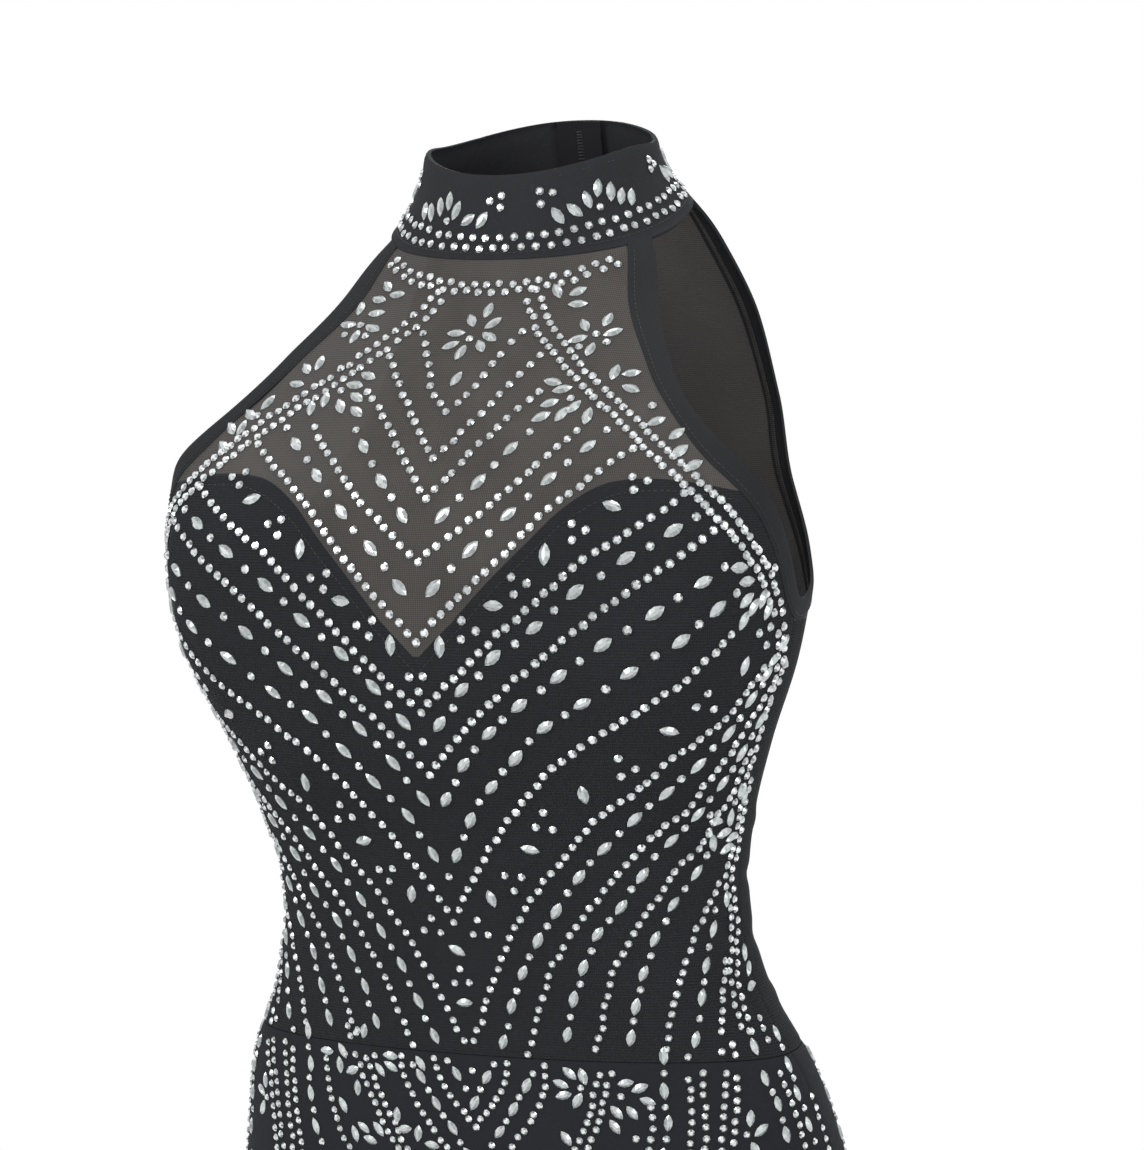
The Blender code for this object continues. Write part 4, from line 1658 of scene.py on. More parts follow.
@dataclass
class Scatter:
    """Places on the cloth, the shape that sits on each, and its sizes in metres."""

    name: str
    slot: str
    finish: Finish
    shape: Object
    length: float
    width: float
    rise: float
    size_change: float
    spin: float
    seed: int
    spots: list[tuple[Array, Array, Array, float]] = field(default_factory=list)

    def put(self, point: Array, normal: Array, along: Array, size: float = 1.0) -> None:
        """Adds a place, the ways of its shape's rise and length, and its share of full size."""
        self.spots.append((point, normal, along, size))

    def build(self) -> None:
        """Runs the geometry nodes and keeps their result as one plain mesh."""
        points, normals, alongs, sizes = zip(*self.spots)
        cloud = bpy.data.meshes.new(self.name + "_points")
        cloud.from_pydata([tuple(point) for point in points], [], [])
        for name, values in (("out_axis", normals), ("along_axis", alongs)):
            layer = cloud.attributes.new(name, "FLOAT_VECTOR", "POINT")
            layer.data.foreach_set("vector", np.array(values, np.float32).reshape(-1))
        layer = cloud.attributes.new("own_size", "FLOAT", "POINT")
        layer.data.foreach_set("value", np.array(sizes, np.float32))
        carrier = add_object(self.name + "_points", cloud)
        tree = ScatterTree().tree()
        modifier = carrier.modifiers.new("Set", "NODES")
        modifier.node_group = tree
        values = {"Shape": self.shape, "Length": self.length, "Width": self.width,
                  "Rise": self.rise, "Size Change": self.size_change, "Spin": self.spin,
                  "Seed": self.seed, "Finish": self.finish.material()}
        for item in tree.interface.items_tree:
            if item.in_out == "INPUT" and item.name in values:
                modifier[item.identifier] = values[item.name]
        carrier.update_tag()
        evaluated = carrier.evaluated_get(bpy.context.evaluated_depsgraph_get())
        mesh = bpy.data.meshes.new_from_object(evaluated)
        bpy.data.objects.remove(carrier)
        mesh.name = self.name
        obj = add_object(self.name, mesh)
        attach(obj, "root")
        LOG.info("%s: %d set, %d faces", self.name, len(points), len(mesh.polygons))


class Setting(Enum):
    """How a line of stones is set."""

    ROUND = "round stones in one row"
    DOUBLE = "round stones in two rows side by side"
    MIXED = "a long stone and a round one in turn, evenly"
    PLACED = "a long stone at each place and a round one after each"


class StoneLine(NamedTuple):
    """A line of stones through places in millimetres of arc and height, on both sides."""

    setting: Setting
    places: tuple[Place, ...]
    pitch: float = 6.0
    gap: float = 5.6
    both_sides: bool = True


class Spray(NamedTuple):
    """Long stones round a place, by their places from it and turns, and round stones."""

    place: Place
    petals: tuple[Petal, ...]
    dots: tuple[Place, ...] = ((0, 0),)
    both_sides: bool = False


# The settings' short names in the tables of lines.
R, D, M, P = Setting.ROUND, Setting.DOUBLE, Setting.MIXED, Setting.PLACED

FRONT_LINES = tuple(StoneLine(*row) for row in (
    (D, ((0, -29.5), (17, -29), (30, -27), (42, -25), (55, -21.5), (64, -19)), 6.3, 3.8),
    (D, ((23, -33), (26, -38), (31, -45), (38, -53), (47, -61), (63, -76), (80, -90), (100, -109),
        (118, -126), (130, -138), (141, -148), (157, -165), (172, -182), (180, -197)), 5.0, 6.0),
    (D, ((182, -203), (183, -212), (181, -226), (177, -240), (171, -252), (167, -263), (159, -276),
        (154, -289), (150, -301), (145, -312), (140, -320), (141, -330), (142, -340), (140, -351),
        (136, -362), (134, -374), (136, -395)), 5.2, 5.0),
    (R, ((0, -93), (8, -84), (17, -65), (25, -52))),
    (R, ((0, -119), (13, -101), (27, -79), (38, -63))),
    (R, ((0, -141), (7, -132), (14, -121), (30, -98), (43, -82))),
    (P, ((10, -150), (24, -132), (37, -113))),
    (R, ((0, -173), (15, -160), (37, -139), (54, -118), (66, -103))),
    (P, ((8, -185), (25, -167), (42, -149), (58, -130), (73, -112))),
    (R, ((0, -210), (15, -195), (41, -169), (59, -147), (80, -127), (94, -113))),
    (R, ((0, -242), (19, -225), (39, -207), (59, -190), (80, -170), (104, -154), (122, -138))),
    (P, ((9, -247), (22, -231), (38, -216), (58, -202), (77, -186), (100, -170), (119, -157))),
    (R, ((0, -271), (25, -245), (55, -220), (90, -193), (121, -170), (138, -157))),
    (P, ((6, -283), (18, -266), (32, -251), (49, -237), (68, -224), (89, -209), (113, -195),
        (134, -181))),
    (P, ((6, -310), (16, -292), (29, -276), (43, -262), (59, -247), (78, -236), (101, -221),
        (124, -207), (142, -193))),
    (R, ((0, -342), (19, -312), (40, -286), (57, -269), (75, -256), (98, -242), (122, -227),
        (149, -205))),
    (R, ((0, -406), (7, -391), (19, -364), (35, -336), (58, -309), (75, -291), (96, -277),
        (117, -261), (141, -246), (160, -229), (169, -221)), 5.7),
    (P, ((18, -400), (24, -383), (31, -366), (40, -350), (50, -335), (62, -319), (76, -305),
        (93, -291), (109, -278), (127, -265), (145, -251), (160, -236))),
    (R, ((30, -405), (37, -384), (45, -364), (57, -345), (73, -326), (99, -300), (119, -286),
        (134, -271), (148, -258), (162, -243), (178, -228)), 5.7),
    (P, ((49, -395), (54, -378), (60, -363), (68, -347), (80, -333), (92, -317), (108, -302),
        (123, -290), (139, -276), (153, -261), (168, -246))),
    (R, ((62, -402), (68, -382), (75, -362), (87, -343), (102, -324), (112, -313), (121, -308),
        (128, -299), (135, -290), (146, -281), (152, -271), (160, -262)), 5.4),
    (P, ((78, -396), (82, -381), (88, -365), (95, -349), (105, -333), (119, -318))),
    (R, ((95, -401), (99, -383), (107, -363), (116, -345), (126, -333), (133, -325)), 5.3),
    (P, ((109, -397), (114, -378), (118, -362), (125, -346))),
    (R, ((122, -394), (124, -384), (126, -376), (130, -362)), 5.0),
))

# Groups of three round stones and lone stones: arc, height and turn in degrees.
TRIOS = (
    (0, -228, 30), (25, -204, 8), (49, -183, 10), (75, -157, 10),
    (100, -132, 13), (0, -370, 94), (12, -346, 94), (32, -321, 27),
    (51, -293, 80), (92, -266, 0), (134, -236, 80), (170, -206, 40),
)
LONE_STONES = (
    (12, -212, 88), (38, -192, 4), (61, -168, 88), (90, -144, -20),
    (0, -75, 74), (0, -357, -35), (0, -382, 5), (20, -330, 104),
    (42, -306, -10), (71, -279, 94), (115, -249, -10), (157, -220, 66),
)
LONE_DOTS = ((0, -256), (0, -321), (0, -415))

FRONT_SPRAYS = (
    Spray((0, -54), ((4, 13.5, 82), (-2.4, 8.5, -50), (9, 7, 36), (-8, 2.5, 4), (9, 0, -30),
        (-8.4, -4.5, 28), (5.9, -4.6, -48), (-2.5, -7.2, 66))),
    Spray((42, -35), ((-6.5, 2.5, -53), (3.5, 2.5, 26), (4.5, -5, 0)), ()),
    Spray((61, -53.5), ((-7.5, 4.5, -48), (2.5, 6.5, 72), (7.5, 0, 12), (-8.5, -2, 12),
        (0, -7, 84)), ((0, 0), (6.5, -4.5), (-6, -6))),
    Spray((82, -76), ((-6, 3, 78), (1.5, 3, 10), (4.5, -5.5, -20)), ()),
    Spray((56, -86), ((-8, 8.5, -10), (-2.5, 4.5, 10), (-6.5, -2, 24), (0.5, -8, 62),
        (6, -4.5, 58), (-8.5, -10, 24), (13.5, -10, 80)), ((3.5, 0),)),
    Spray((108, -104), ((-6, 5, 26), (0, 7, 62), (5, -2, 48), (9, -11, 40), (15, -19, 38)),
        ((-10, 13.5), (-4, 11))),
    Spray((-52, -34), ((-5.5, 3.5, -28), (3.5, 0, 10), (-7, -3, 0)), ()),
    Spray((-62.5, -49), ((-5, 7.5, 100), (6, 5.5, 10), (-8, 0, 0), (8.5, -1.5, -15),
        (-0.5, -6, 76)), ((0, 0), (-7, -5), (6, -6))),
    Spray((-80, -74), ((-2.5, 3, -38), (3, 5.5, 80), (-4.5, -5.5, 0)), ()),
    Spray((-56, -84), ((10, 10, -17), (4.5, 5.5, -8), (8, -1.5, -28), (10, -9.5, -36),
        (0.5, -6, -62), (-8.5, -3, 92), (-15, -8, 104)), ((-2.5, 2),)),
    Spray((-105, -100), ((0, 4, -39), (7.5, 10, 55), (-8, -4.5, -49), (-2, -4, 79),
        (-9.5, -15, -47)), ((-14.5, -9), (5, 3))),
    Spray((165, -186), ((-13, 11.5, 0), (-8, 5, 9), (-8, -3, 40), (-2.5, -7.5, 56), (3.5, -4, 70),
        (8, -9, 62), (-9, -13, 60)), ((10.5, 17), (10.5, 10.5)), True),
    Spray((186, -213), ((8, 1.5, 68), (-1, 3, 42), (-9, -5, 34), (-15, -11, 42), (1, -6, -44)),
        ((9, 8), (12, 4), (11, -3)), True),
    Spray((143, -295), ((1, 2, 70), (-9, 1, 0), (-6, -4, 12), (0, -8, 20), (-13, -9, 88),
        (-4, -13, 15), (10, 14, 80), (15, 5, 50), (11, -5, 76), (14, 12, 70)), ((-16, -3), (4, 9),
        (-13, 4)), True),
    Spray((146, -362), ((-9, 29, 80), (1, 11, 84), (1, 2, 78), (2, -6, 60), (0, -14, 15)), (),
        True),
)

HIP_LINES = tuple(StoneLine(*row) for row in (
    (R, ((0, -443), (7, -435), (13, -427), (17, -420), (19, -411)), 5.0),
    (P, ((0, -431), (8, -418))),
    (P, ((4, -457), (12, -445), (20, -433), (27, -421))),
    (R, ((0, -468), (18, -451), (29, -437), (34, -427), (37, -418), (37, -411)), 5.0),
    (D, ((2, -499), (22, -485), (42, -465), (54, -447), (60, -433), (64, -419), (67, -411)), 4.8,
        5.2, False),
    (D, ((-2, -499), (-20, -482), (-36, -462), (-45, -448), (-50, -438), (-54, -429), (-58, -419),
        (-62, -409), (-64, -399)), 4.8, 5.2, False),
    (R, ((86, -429), (86, -440), (84, -450), (74, -466), (56, -486)), 5.0, 0, False),
    (R, ((-82, -417), (-81, -427), (-80, -436), (-76, -450), (-68, -464), (-54, -484)), 5.0, 0,
        False),
    (P, ((93, -405), (93, -421), (94, -436), (91, -452), (84, -468), (72, -486), (55, -504),
        (34, -520), (12, -536))),
    (D, ((0, -584), (40, -560), (74, -530), (94, -500), (104, -470), (107, -447), (108, -430),
        (108, -405)), 5.2, 6.4),
    (D, ((124, -400), (125, -415), (123, -430), (121, -448), (116, -480), (104, -530), (84, -580),
        (60, -620)), 5.2, 5.4),
    (P, ((152, -462), (150, -444), (147, -430), (141, -417), (138, -402))),
    (M, ((150, -478), (144, -540), (128, -610), (112, -668)), 10.0),
    (R, ((147, -390), (148, -407), (151, -417), (156, -431), (160, -448), (167, -490), (166, -550),
        (156, -620)), 5.2),
    (P, ((171, -458), (165, -441), (160, -425), (158, -412), (156, -398))),
    (M, ((176, -474), (182, -540), (178, -620), (168, -700)), 10.0),
    (R, ((169, -419), (172, -431), (178, -449), (192, -500), (197, -560), (194, -610)), 5.4),
    (M, ((196, -414), (206, -450), (216, -500), (218, -570), (214, -650)), 10.0),
    (R, ((212, -414), (222, -450), (232, -500), (234, -560), (230, -620))),
    (D, ((228, -414), (240, -450), (252, -500), (252, -570), (246, -660)), 5.4),
    (M, ((246, -414), (258, -450), (270, -500), (270, -560), (262, -620)), 10.0),
    (R, ((262, -414), (276, -450), (290, -500), (288, -560))),
    (M, ((278, -414), (294, -450), (308, -500), (306, -560), (298, -660)), 10.0),
    (D, ((296, -414), (313, -450), (330, -500), (326, -560), (316, -610)), 5.4),
    (R, ((312, -414), (332, -450), (350, -500), (346, -560), (336, -680))),
))
# Six petals round a place.
STAR = tuple((9 * cos(radians(turn)), 9 * sin(radians(turn)), turn)
             for turn in range(0, 360, 60))
HIP_SPRAYS = (
    Spray((54, -420), ((-5, 6, -45), (2, 5, 100), (-10, 1, -20), (-9, -5, 15), (-3, -7, 55))),
    Spray((75, -425), ((4, 16, 30), (0, 7, 15), (6, 5, 20), (10, -1, -15), (-5, -7, -50),
        (2, -7, -50), (-7, -14, -55), (-30, -21, -55)), ((-3, 1), (4, -19))),
    Spray((-48, -413), ((-9, 12, 80), (-7, 7, 60), (-3, 6, 4), (5, 1, -5), (-2, -6, -50),
        (4, -5, -30), (16, 3, -70), (21, -1, -60)), ((-4, 1),)),
    Spray((-69, -413), ((-8, 5, -40), (-2, 6, -40), (-12, 0, 0), (-2, 1, -60), (-5, -6, 90),
        (3, -8, 20), (5, -17, 88)), ((0, 0),)),
    Spray((-56, -447), ((-17, 8, -65), (14, 6, 88), (-5, -2, -30), (3, -2, -55), (-2, -8, -15),
        (18, -1, 10), (26, -2, 80), (33, -7, -5), (-11, -6, -75)), ()),
    Spray((131, -443), ((1, 8, 85), (6, 2, 35), (3, -6, -60)), ((-1, 0),), True),
    Spray((0, -522), STAR),
    Spray((30, -606), STAR, ((0, 0),), True),
)


class Fan(NamedTuple):
    """Like groups on the collar: their middles' arcs, height, petals and round stones."""

    arcs: tuple[float, ...]
    height: float
    petals: tuple[Petal, ...]
    dots: tuple[Place, ...]


COLLAR_FANS = (
    Fan((39.5, 112, 168), 1.2, ((-21, 2.4, 130), (-13, 2.6, 145), (-6.5, 5.4, 122),
                                (-1, 8.4, 92), (5.5, 4.6, 84), (12, 1.8, 80), (18.5, 1.2, 84)),
        ((0, 0.8),)),
    Fan((11.5, 76, 141), 11.0, (), ((-2.5, 2.4), (-2.0, -2.3), (3.8, 0.0))),
)
# The collar's rows of round stones: their height and the arc where they start.
COLLAR_ROWS = ((-8.8, 0.0), (-3.7, 3.4))


@dataclass
class Stones:
    """The stones set on the dress, which are larger at the bust than at the hip."""

    cut: Cut
    round_size: float = 0.0042
    round_rise: float = 0.0017
    long_size: float = 0.0098
    long_width: float = 0.0055
    long_rise: float = 0.0019
    size_change: float = 0.05
    triple_reach: float = 4.6
    seam_clear: float = 0.0026
    skirt_back_clear: float = 0.004
    back_clear: float = 0.0075
    on_centre: float = 0.4
    double_clear: float = 2.5
    jitter: float = 0.35
    direction_step: float = 0.001
    curve_samples: int = 40
    collar_turn: float = 12.0
    collar_pitch: float = 7.1
    collar_end: float = 7.0
    sink: float = 0.0002
    random_seed: int = 11
    size_heights: tuple[float, ...] = (-0.42, -0.34, -0.26, -0.17, -0.10)
    size_shares: tuple[float, ...] = (0.86, 0.92, 1.04, 1.04, 0.98)

    def __post_init__(self) -> None:
        """Makes the two stone shapes and the lists that hold the stones' places."""
        self.random = np.random.default_rng(self.random_seed)
        rounds, longs = Solid.round_stone(), Solid.long_stone()
        self.fields: dict[str, tuple[Scatter, Scatter]] = {}
        for region in ("collar", "front", "skirt_front", "skirt_back"):
            self.fields[region] = (
                Scatter(f"round_stones_{region}", "stone", ROUND_STONE, rounds, self.round_size,
                        self.round_size, self.round_rise, self.size_change, pi, 5),
                Scatter(f"long_stones_{region}", "stone", LONG_STONE, longs, self.long_size,
                        self.long_width, self.long_rise, self.size_change, radians(5), 7),
            )

    def region(self, arc: float, height: float) -> str | None:
        """Finds the piece of cloth under a place.

        Args:
            arc: The place's arc, in metres.
            height: Its height.

        Returns:
            The piece, or None where the place is beside a seam or off the cloth.
        """
        cut = self.cut
        reach = abs(arc)
        if height > cut.neck_seam:
            inside = reach <= cut.collar.row(height)[-1] - self.back_clear
            return "collar" if inside else None
        if abs(height - cut.waist_seam) < self.seam_clear:
            return None
        if height > cut.waist_seam:
            inside = reach < cut.limit(height, -1) - self.seam_clear
            return "front" if inside and height < cut.neck_seam - self.seam_clear else None
        side = cut.side_arc(height)
        near_back = reach > cut.back_arc(height) - self.skirt_back_clear
        if abs(reach - side) < self.seam_clear or near_back:
            return None
        return "skirt_front" if reach < side else "skirt_back"

    def place(self, region: str, long: bool, arc: float, height: float, turn: float) -> None:
        """Puts one stone.

        Args:
            region: The piece of cloth under it.
            long: Whether it is a long stone.
            arc: Its arc, in metres.
            height: Its height, in metres.
            turn: The way its long axis points, in degrees from level.
        """
        form = self.cut.collar if region == "collar" else self.cut.body
        moved = self.random.normal(0, self.jitter * MM, 2)
        arc, height = arc + moved[0], height + moved[1]
        step = self.direction_step * np.array([cos(radians(turn)), sin(radians(turn))])
        places = np.array([(arc, height), (arc + step[0], height + step[1])])
        if region == "collar":
            out = self.cut.proud
        else:
            creases = BODICE_CREASES if region == "front" else SKIRT_CREASES
            out = float(relief(creases, np.array(arc), np.array(height)))
        angle = form.angle(places[:, 0], places[:, 1])
        normal = form.normals(angle, places[:, 1])[0]
        points = form.point(angle, places[:, 1])
        size = float(np.interp(height, self.size_heights, self.size_shares))
        self.fields[region][int(long)].put(points[0] + normal * (out - self.sink), normal,
                                           unit(points[1] - points[0]), size)

    def put(self, long: bool, arc: float, height: float, turn: float = 0.0,
            both: bool = False) -> None:
        """Puts a stone, once or on both sides, where there is cloth for it.

        Args:
            long: Whether it is a long stone.
            arc: Its arc, in millimetres.
            height: Its height, in millimetres.
            turn: The way its long axis points, in degrees from level.
            both: Whether it is on both sides; a stone on the centre front is put once.
        """
        for sign in ((1, -1) if both and abs(arc) > self.on_centre else (1,)):
            where = self.region(sign * arc * MM, height * MM)
            if where:
                self.place(where, long, sign * arc * MM, height * MM,
                           turn if sign > 0 else 180 - turn)

    def along_line(self, places: Sequence[Place], pitch: float, shift: float = 0.0) -> Array:
        """Even places on a smooth curve through a line's places.

        Args:
            places: The line's own places, in millimetres.
            pitch: How far apart the stones are.
            shift: How far from the line they are, to its left.

        Returns:
            An arc, a height and a direction in degrees for each stone.
        """
        knots = np.array(places, float)
        along = run_length(knots)
        fine = np.linspace(0, along[-1], self.curve_samples * len(knots))
        curve = np.stack([hermite(along, knots[:, i], fine) for i in (0, 1)], axis=1)
        tangent = unit(np.gradient(curve, axis=0))
        curve = curve + np.stack([-tangent[:, 1], tangent[:, 0]], axis=1) * shift
        run = run_length(curve)
        stops = np.linspace(0, run[-1], max(int(round(run[-1] / pitch)), 1) + 1)
        arcs, heights, level, upright = (np.interp(stops, run, values)
                                         for values in (*curve.T, *tangent.T))
        return np.stack([arcs, heights, np.degrees(np.arctan2(upright, level))], axis=1)

    def set_placed(self, line: StoneLine) -> None:
        """Sets a long stone at each of a line's places, with a round one after each.

        Args:
            line: The line.
        """
        spots = np.array(line.places, float)
        ways = np.gradient(spots, axis=0)
        following = np.concatenate([spots[1:], 2 * spots[-1:] - spots[-2:-1]])
        for spot, way, dot in zip(spots, ways, (spots + following) / 2):
            self.put(True, *spot, float(np.degrees(np.arctan2(way[1], way[0]))), both=True)
            self.put(False, *dot, both=True)

    def set_line(self, line: StoneLine) -> None:
        """Sets a line of stones at an even pitch, in one row or in two.

        Args:
            line: The line.
        """
        both = line.both_sides
        shifts = (line.gap / 2, -line.gap / 2) if line.setting is Setting.DOUBLE else (0,)
        for shift in shifts:
            stops = self.along_line(line.places, line.pitch, shift)
            if shift < 0:
                stops = (stops[:-1] + stops[1:]) / 2
            for index, (arc, height, turn) in enumerate(stops):
                long = line.setting is Setting.MIXED and index % 2 == 0
                crowded = abs(arc) < self.double_clear and line.places[0][0] == 0 and index
                if not (shift and crowded):
                    self.put(long, max(arc, 0.0) if both else arc, height, turn, both)

    def set_lone(self) -> None:
        """Sets the groups of three, the long stones and the round ones that stand alone."""
        for arc, height, turn in TRIOS:
            for way in np.radians([turn, turn + 120, turn + 240]):
                self.put(False, arc + self.triple_reach * cos(way),
                         height + self.triple_reach * sin(way), both=bool(arc))
        for stone in LONE_STONES:
            self.put(True, *stone, both=True)
        for dot in LONE_DOTS:
            self.put(False, *dot, both=True)

    def set_spray(self, spray: Spray) -> None:
        """Sets a spray of petals and the round stones in it.

        Args:
            spray: The spray.
        """
        arc, height = spray.place
        for along, up, turn in spray.petals:
            self.put(True, arc + along, height + up, turn, spray.both_sides)
        for along, up in spray.dots:
            self.put(False, arc + along, height + up, both=spray.both_sides)

    def set_collar(self) -> None:
        """Sets the collar: two rows along its seam, fans of petals and groups of three."""
        for level, start in COLLAR_ROWS:
            reach = float(self.cut.collar.row(level * MM)[-1]) / MM - self.collar_end
            count = int(reach / self.collar_pitch)
            for index in range(-count, count + 1):
                arc = index * self.collar_pitch + start
                if abs(arc) < reach:
                    self.put(False, arc, level)
        for fan in COLLAR_FANS:
            for middle in fan.arcs:
                for sign in (1, -1):
                    for arc, up, turn in fan.petals:
                        self.put(True, self.collar_turn + sign * (middle + arc),
                                 fan.height + up, turn if sign > 0 else 180 - turn)
                    for arc, up in fan.dots:
                        self.put(False, self.collar_turn + sign * (middle + arc),
                                 fan.height + up)

    def build(self) -> None:
        """Sets every stone and makes the pieces."""
        self.set_collar()
        self.set_lone()
        for line in FRONT_LINES + HIP_LINES:
            if line.setting is Setting.PLACED:
                self.set_placed(line)
            else:
                self.set_line(line)
        for spray in FRONT_SPRAYS + HIP_SPRAYS:
            self.set_spray(spray)
        for pair in self.fields.values():
            for scatter in pair:
                if scatter.spots:
                    scatter.build()


@dataclass
class Sewing:
    """The visible stitching: bindings, collar seam, lining edge and hem."""

    cut: Cut
    stitch_length: float = 0.0021
    stitch_pitch: float = 0.0028
    thread: float = 0.00034
    binding_share: float = 0.78
    binding_end: float = 0.003
    binding_rise: float = 0.0002
    seam_above: float = 0.0016
    fold_below: float = 0.0032
    collar_end: float = 0.004
    lining_below: float = 0.0065
    lining_end: float = 0.02
    hem_above: float = 0.018
    hem_rise: float = 0.0003
    collar_samples: int = 400
    lining_samples: int = 500
    hem_samples: int = 700

    def __post_init__(self) -> None:
        """Makes the stitch's shape."""
        self.shape = Solid.stitch()

    def rows(self, name: str, form: Form, lines: Sequence[Array], out: float,
             creases: Sequence[Crease] = ()) -> None:
        """Sews stitches along lines of arc and height.

        Args:
            name: The piece's name.
            form: The form that carries the cloth.
            lines: Arrays of places, in metres.
            out: How far the cloth's face stands off the form.
            creases: The creases of that cloth.
        """
        made = Scatter(name, "thread", THREAD, self.shape, self.stitch_length, self.thread,
                       self.thread, 0.06, radians(3), 9)
        for line in lines:
            arcs, heights = line.T
            points = form.surface(arcs, heights, out + relief(creases, arcs, heights))
            run = run_length(points)
            stops = np.arange(self.stitch_pitch, run[-1], self.stitch_pitch)
            arcs, heights, *spots = (np.interp(stops, run, values)
                                     for values in (arcs, heights, *points.T))
            normals = form.normals(form.angle(arcs, heights), heights)
            spots = np.stack(spots, axis=1)
            for spot, normal, along in zip(spots, normals, unit(np.gradient(spots, axis=0))):
                made.put(spot, normal, along)
        made.build()

    def level_line(self, start: float, end: float, height: float, count: int) -> Array:
        """Places from one arc to another at one height."""
        return np.stack([np.linspace(start, end, count), np.full(count, height)], axis=1)

    def build(self) -> None:
        """Sews every line."""
        cut = self.cut
        path = cut.armhole * (1 - self.binding_share) + cut.binding_inner * self.binding_share
        path = path[path[:, 1] < cut.neck_seam - self.binding_end]
        arcs = path[:, 0] + np.array([cut.side_arc(height) for height in path[:, 1]])
        self.rows("binding_stitches", cut.body,
                  [np.stack([sign * arcs, path[:, 1]], axis=1) for sign in (1, -1)],
                  cut.proud + self.binding_rise)
        lines = []
        for level in (cut.neck_seam + self.seam_above, COLLAR_TOP - self.fold_below):
            reach = float(cut.collar.row(level)[-1]) - self.collar_end
            lines.append(self.level_line(-reach, reach, level, self.collar_samples))
        self.rows("collar_stitches", cut.collar, lines, cut.proud)
        share = np.linspace(self.lining_end, 1 - self.lining_end, self.lining_samples)
        heights = cut.sweetheart(share) - self.lining_below
        limits = np.array([cut.limit(height, -1) for height in heights])
        self.rows("lining_stitches", cut.body,
                  [np.stack([limits * (2 * share - 1), heights], axis=1)], 0.0, BODICE_CREASES)
        level = cut.hem + self.hem_above
        side, back = cut.side_arc(level), cut.back_arc(level)
        self.rows("hem_stitches", cut.body,
                  [self.level_line(start, end, level, self.hem_samples)
                   for start, end in ((-side, side), (side, back), (-side, -back))],
                  self.hem_rise)


@dataclass
class Zip:
    """The concealed zip: its tape, its coil and the painted slider and tab."""

    cut: Cut
    tape_gap: float = 0.0006
    tape_wall: float = 0.0010
    coil_pitch: float = 0.0016
    coil_length: float = 0.0042
    coil_thread: float = 0.0007
    top_gap: float = 0.006
    seam_gaps: tuple[float, float] = (0.002, 0.012)
    waist_gap: float = 0.004

    def build(self, nodes: dict[str, Object]) -> None:
        """Dresses the zip's own nodes and sews on the coil.

        Args:
            nodes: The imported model's nodes.
        """
        cut = self.cut
        for name, finish in (("zip_slider", ZIP_METAL), ("zip_pull_tab", ZIP_METAL),
                             ("zip_tape", TAPE)):
            finish.coat(nodes[name])
            LOG.info("%s: finished", name)
        depth = cut.net_wall + cut.layer_gap + cut.lining_wall + self.tape_gap + self.tape_wall
        made = Scatter("zip_coil", "tape", TOOTH, Solid.stitch(), self.coil_length,
                       self.coil_thread, self.coil_thread, 0.0, 0.0, 13)
        above, below = self.seam_gaps
        spans = ((cut.collar, COLLAR_TOP - self.top_gap, cut.neck_seam + above),
                 (cut.body, cut.neck_seam - below, cut.waist_seam + self.waist_gap))
        for form, high, low in spans:
            for level in np.arange(high, low, -self.coil_pitch):
                arc = np.array([float(form.row(level)[-1])])
                point = form.surface(arc, np.array([level]), -depth)[0]
                normal = form.normals(np.array([CENTRE_BACK]), np.array([level]))[0]
                made.put(point, -normal, np.array([1.0, 0.0, 0.0]))
        made.build()


class Lamp(NamedTuple):
    """A square softbox: where it stands, its side and its power in watts."""

    name: str
    place: tuple[float, float, float]
    size: float
    power: float


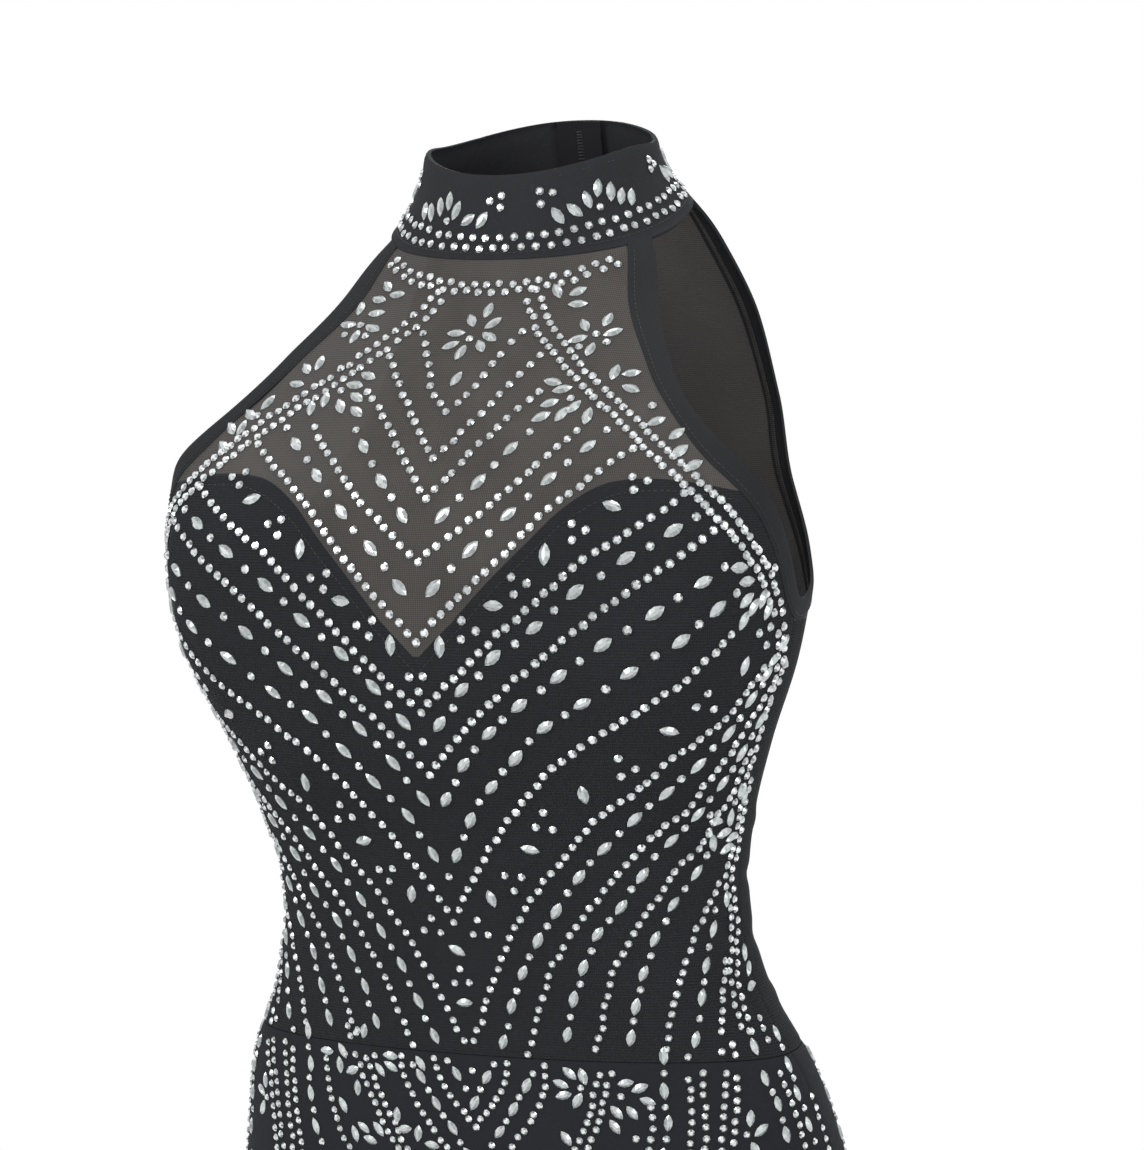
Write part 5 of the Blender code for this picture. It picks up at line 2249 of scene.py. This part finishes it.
@dataclass
class Studio:
    """A pale floor, even white surroundings, softboxes and the camera."""

    turn: float = radians(22.5)
    distance: float = 1.87
    camera_height: float = -0.083
    aim_height: float = -0.187
    aside: float = 0.014563
    lens: float = 120.52
    floor_gap: float = 0.012
    floor_radius: float = 2.6
    floor_sides: int = 96
    patch_scale: float = 2.6
    dark_patch: tuple[float, Colour] = (0.40, (0.30, 0.30, 0.32))
    light_patch: tuple[float, Colour] = (0.56, (1.15, 1.15, 1.15))
    lamps: tuple[Lamp, ...] = (
        Lamp("key_light", (-1.3, -2.2, 1.1), 1.2, 26.0),
        Lamp("fill_light", (2.3, -1.6, 0.4), 1.4, 16.0),
        Lamp("top_light", (0.2, 0.6, 2.2), 1.5, 20.0),
        Lamp("back_light", (-0.8, 2.4, 0.8), 1.4, 14.0),
    )

    def surroundings(self) -> None:
        """White behind the dress, with softer and darker parts for the stones to mirror."""
        world = bpy.data.worlds.new("studio")
        bpy.context.scene.world = world
        world.use_nodes = True
        canvas = Canvas(world.node_tree)
        way = canvas.add("ShaderNodeTexCoord").outputs["Generated"]
        ramp = canvas.add("ShaderNodeValToRGB", {0: canvas.noise(way, self.patch_scale, 1.0)})
        for element, (place, colour) in zip(ramp.color_ramp.elements,
                                            (self.dark_patch, self.light_patch)):
            element.position = place
            element.color = (*colour, 1)
        seen = canvas.add("ShaderNodeLightPath").outputs["Is Camera Ray"]
        canvas.feed(world.node_tree.nodes["Background"],
                    {"Color": canvas.blend(seen, ramp.outputs[0], (1.0, 1.0, 1.0, 1))})

    def floor(self, low: float) -> None:
        """A round pale floor just under the hem.

        Args:
            low: The dress's lowest height.
        """
        turns = np.linspace(0, 2 * pi, self.floor_sides + 1)[:-1]
        level = low - self.floor_gap
        points = [(self.floor_radius * cos(a), self.floor_radius * sin(a), level) for a in turns]
        mesh = bpy.data.meshes.new("floor")
        mesh.from_pydata(points, [], [tuple(range(self.floor_sides))])
        material = bpy.data.materials.new("floor_paint")
        material.use_nodes = True
        Canvas(material.node_tree).feed(material.node_tree.nodes["Principled BSDF"],
                                        {"Base Color": (0.82, 0.82, 0.82, 1), "Roughness": 0.9})
        mesh.materials.append(material)
        add_object("floor", mesh)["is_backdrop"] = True

    def aim(self, obj: Object, place: Vector, at: Vector) -> None:
        """Stands a lamp or the camera at a place and turns it to face another."""
        obj.location = place
        obj.rotation_euler = (at - place).to_track_quat("-Z", "Y").to_euler()

    def lights(self) -> None:
        """Softboxes that face the bodice."""
        for lamp in self.lamps:
            data = bpy.data.lights.new(lamp.name, "AREA")
            data.size = lamp.size
            data.energy = lamp.power
            self.aim(add_object(lamp.name, data), Vector(lamp.place),
                     Vector((0, 0, self.aim_height)))

    def camera(self) -> None:
        """The camera, from the wearer's left front at chest height."""
        right = Vector((cos(self.turn), sin(self.turn), 0)) * self.aside
        away = Vector((sin(self.turn), -cos(self.turn), 0)) * self.distance
        data = bpy.data.cameras.new("camera")
        data.lens = self.lens
        obj = add_object("camera", data)
        self.aim(obj, right + away + Vector((0, 0, self.camera_height)),
                 right + Vector((0, 0, self.aim_height)))
        bpy.context.scene.camera = obj

    def build(self, low: float) -> None:
        """Sets up the whole studio.

        Args:
            low: The dress's lowest height.
        """
        bpy.context.scene.view_settings.view_transform = "Standard"
        self.surroundings()
        self.floor(low)
        self.lights()
        self.camera()


def plain_box(bounds: Sequence[Sequence[float]]) -> list[list[float]]:
    """A box as plain lists of numbers."""
    return [[float(number) for number in corner] for corner in bounds]


def main() -> None:
    """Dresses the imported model."""
    logging.basicConfig(level=logging.INFO, format="%(name)s: %(message)s")
    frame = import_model()
    solid_box = plain_box(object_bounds())
    cut = Cut(BodyForm(), CollarForm())
    Collar(cut).build()
    Bodice(cut).build()
    Skirt(cut).build()
    SeamAllowances(cut).build()
    Zip(cut).build(frame["nodes"])
    Sewing(cut).build()
    Stones(cut).build()
    Studio().build(solid_box[0][2])


if __name__ == "__main__":
    main()
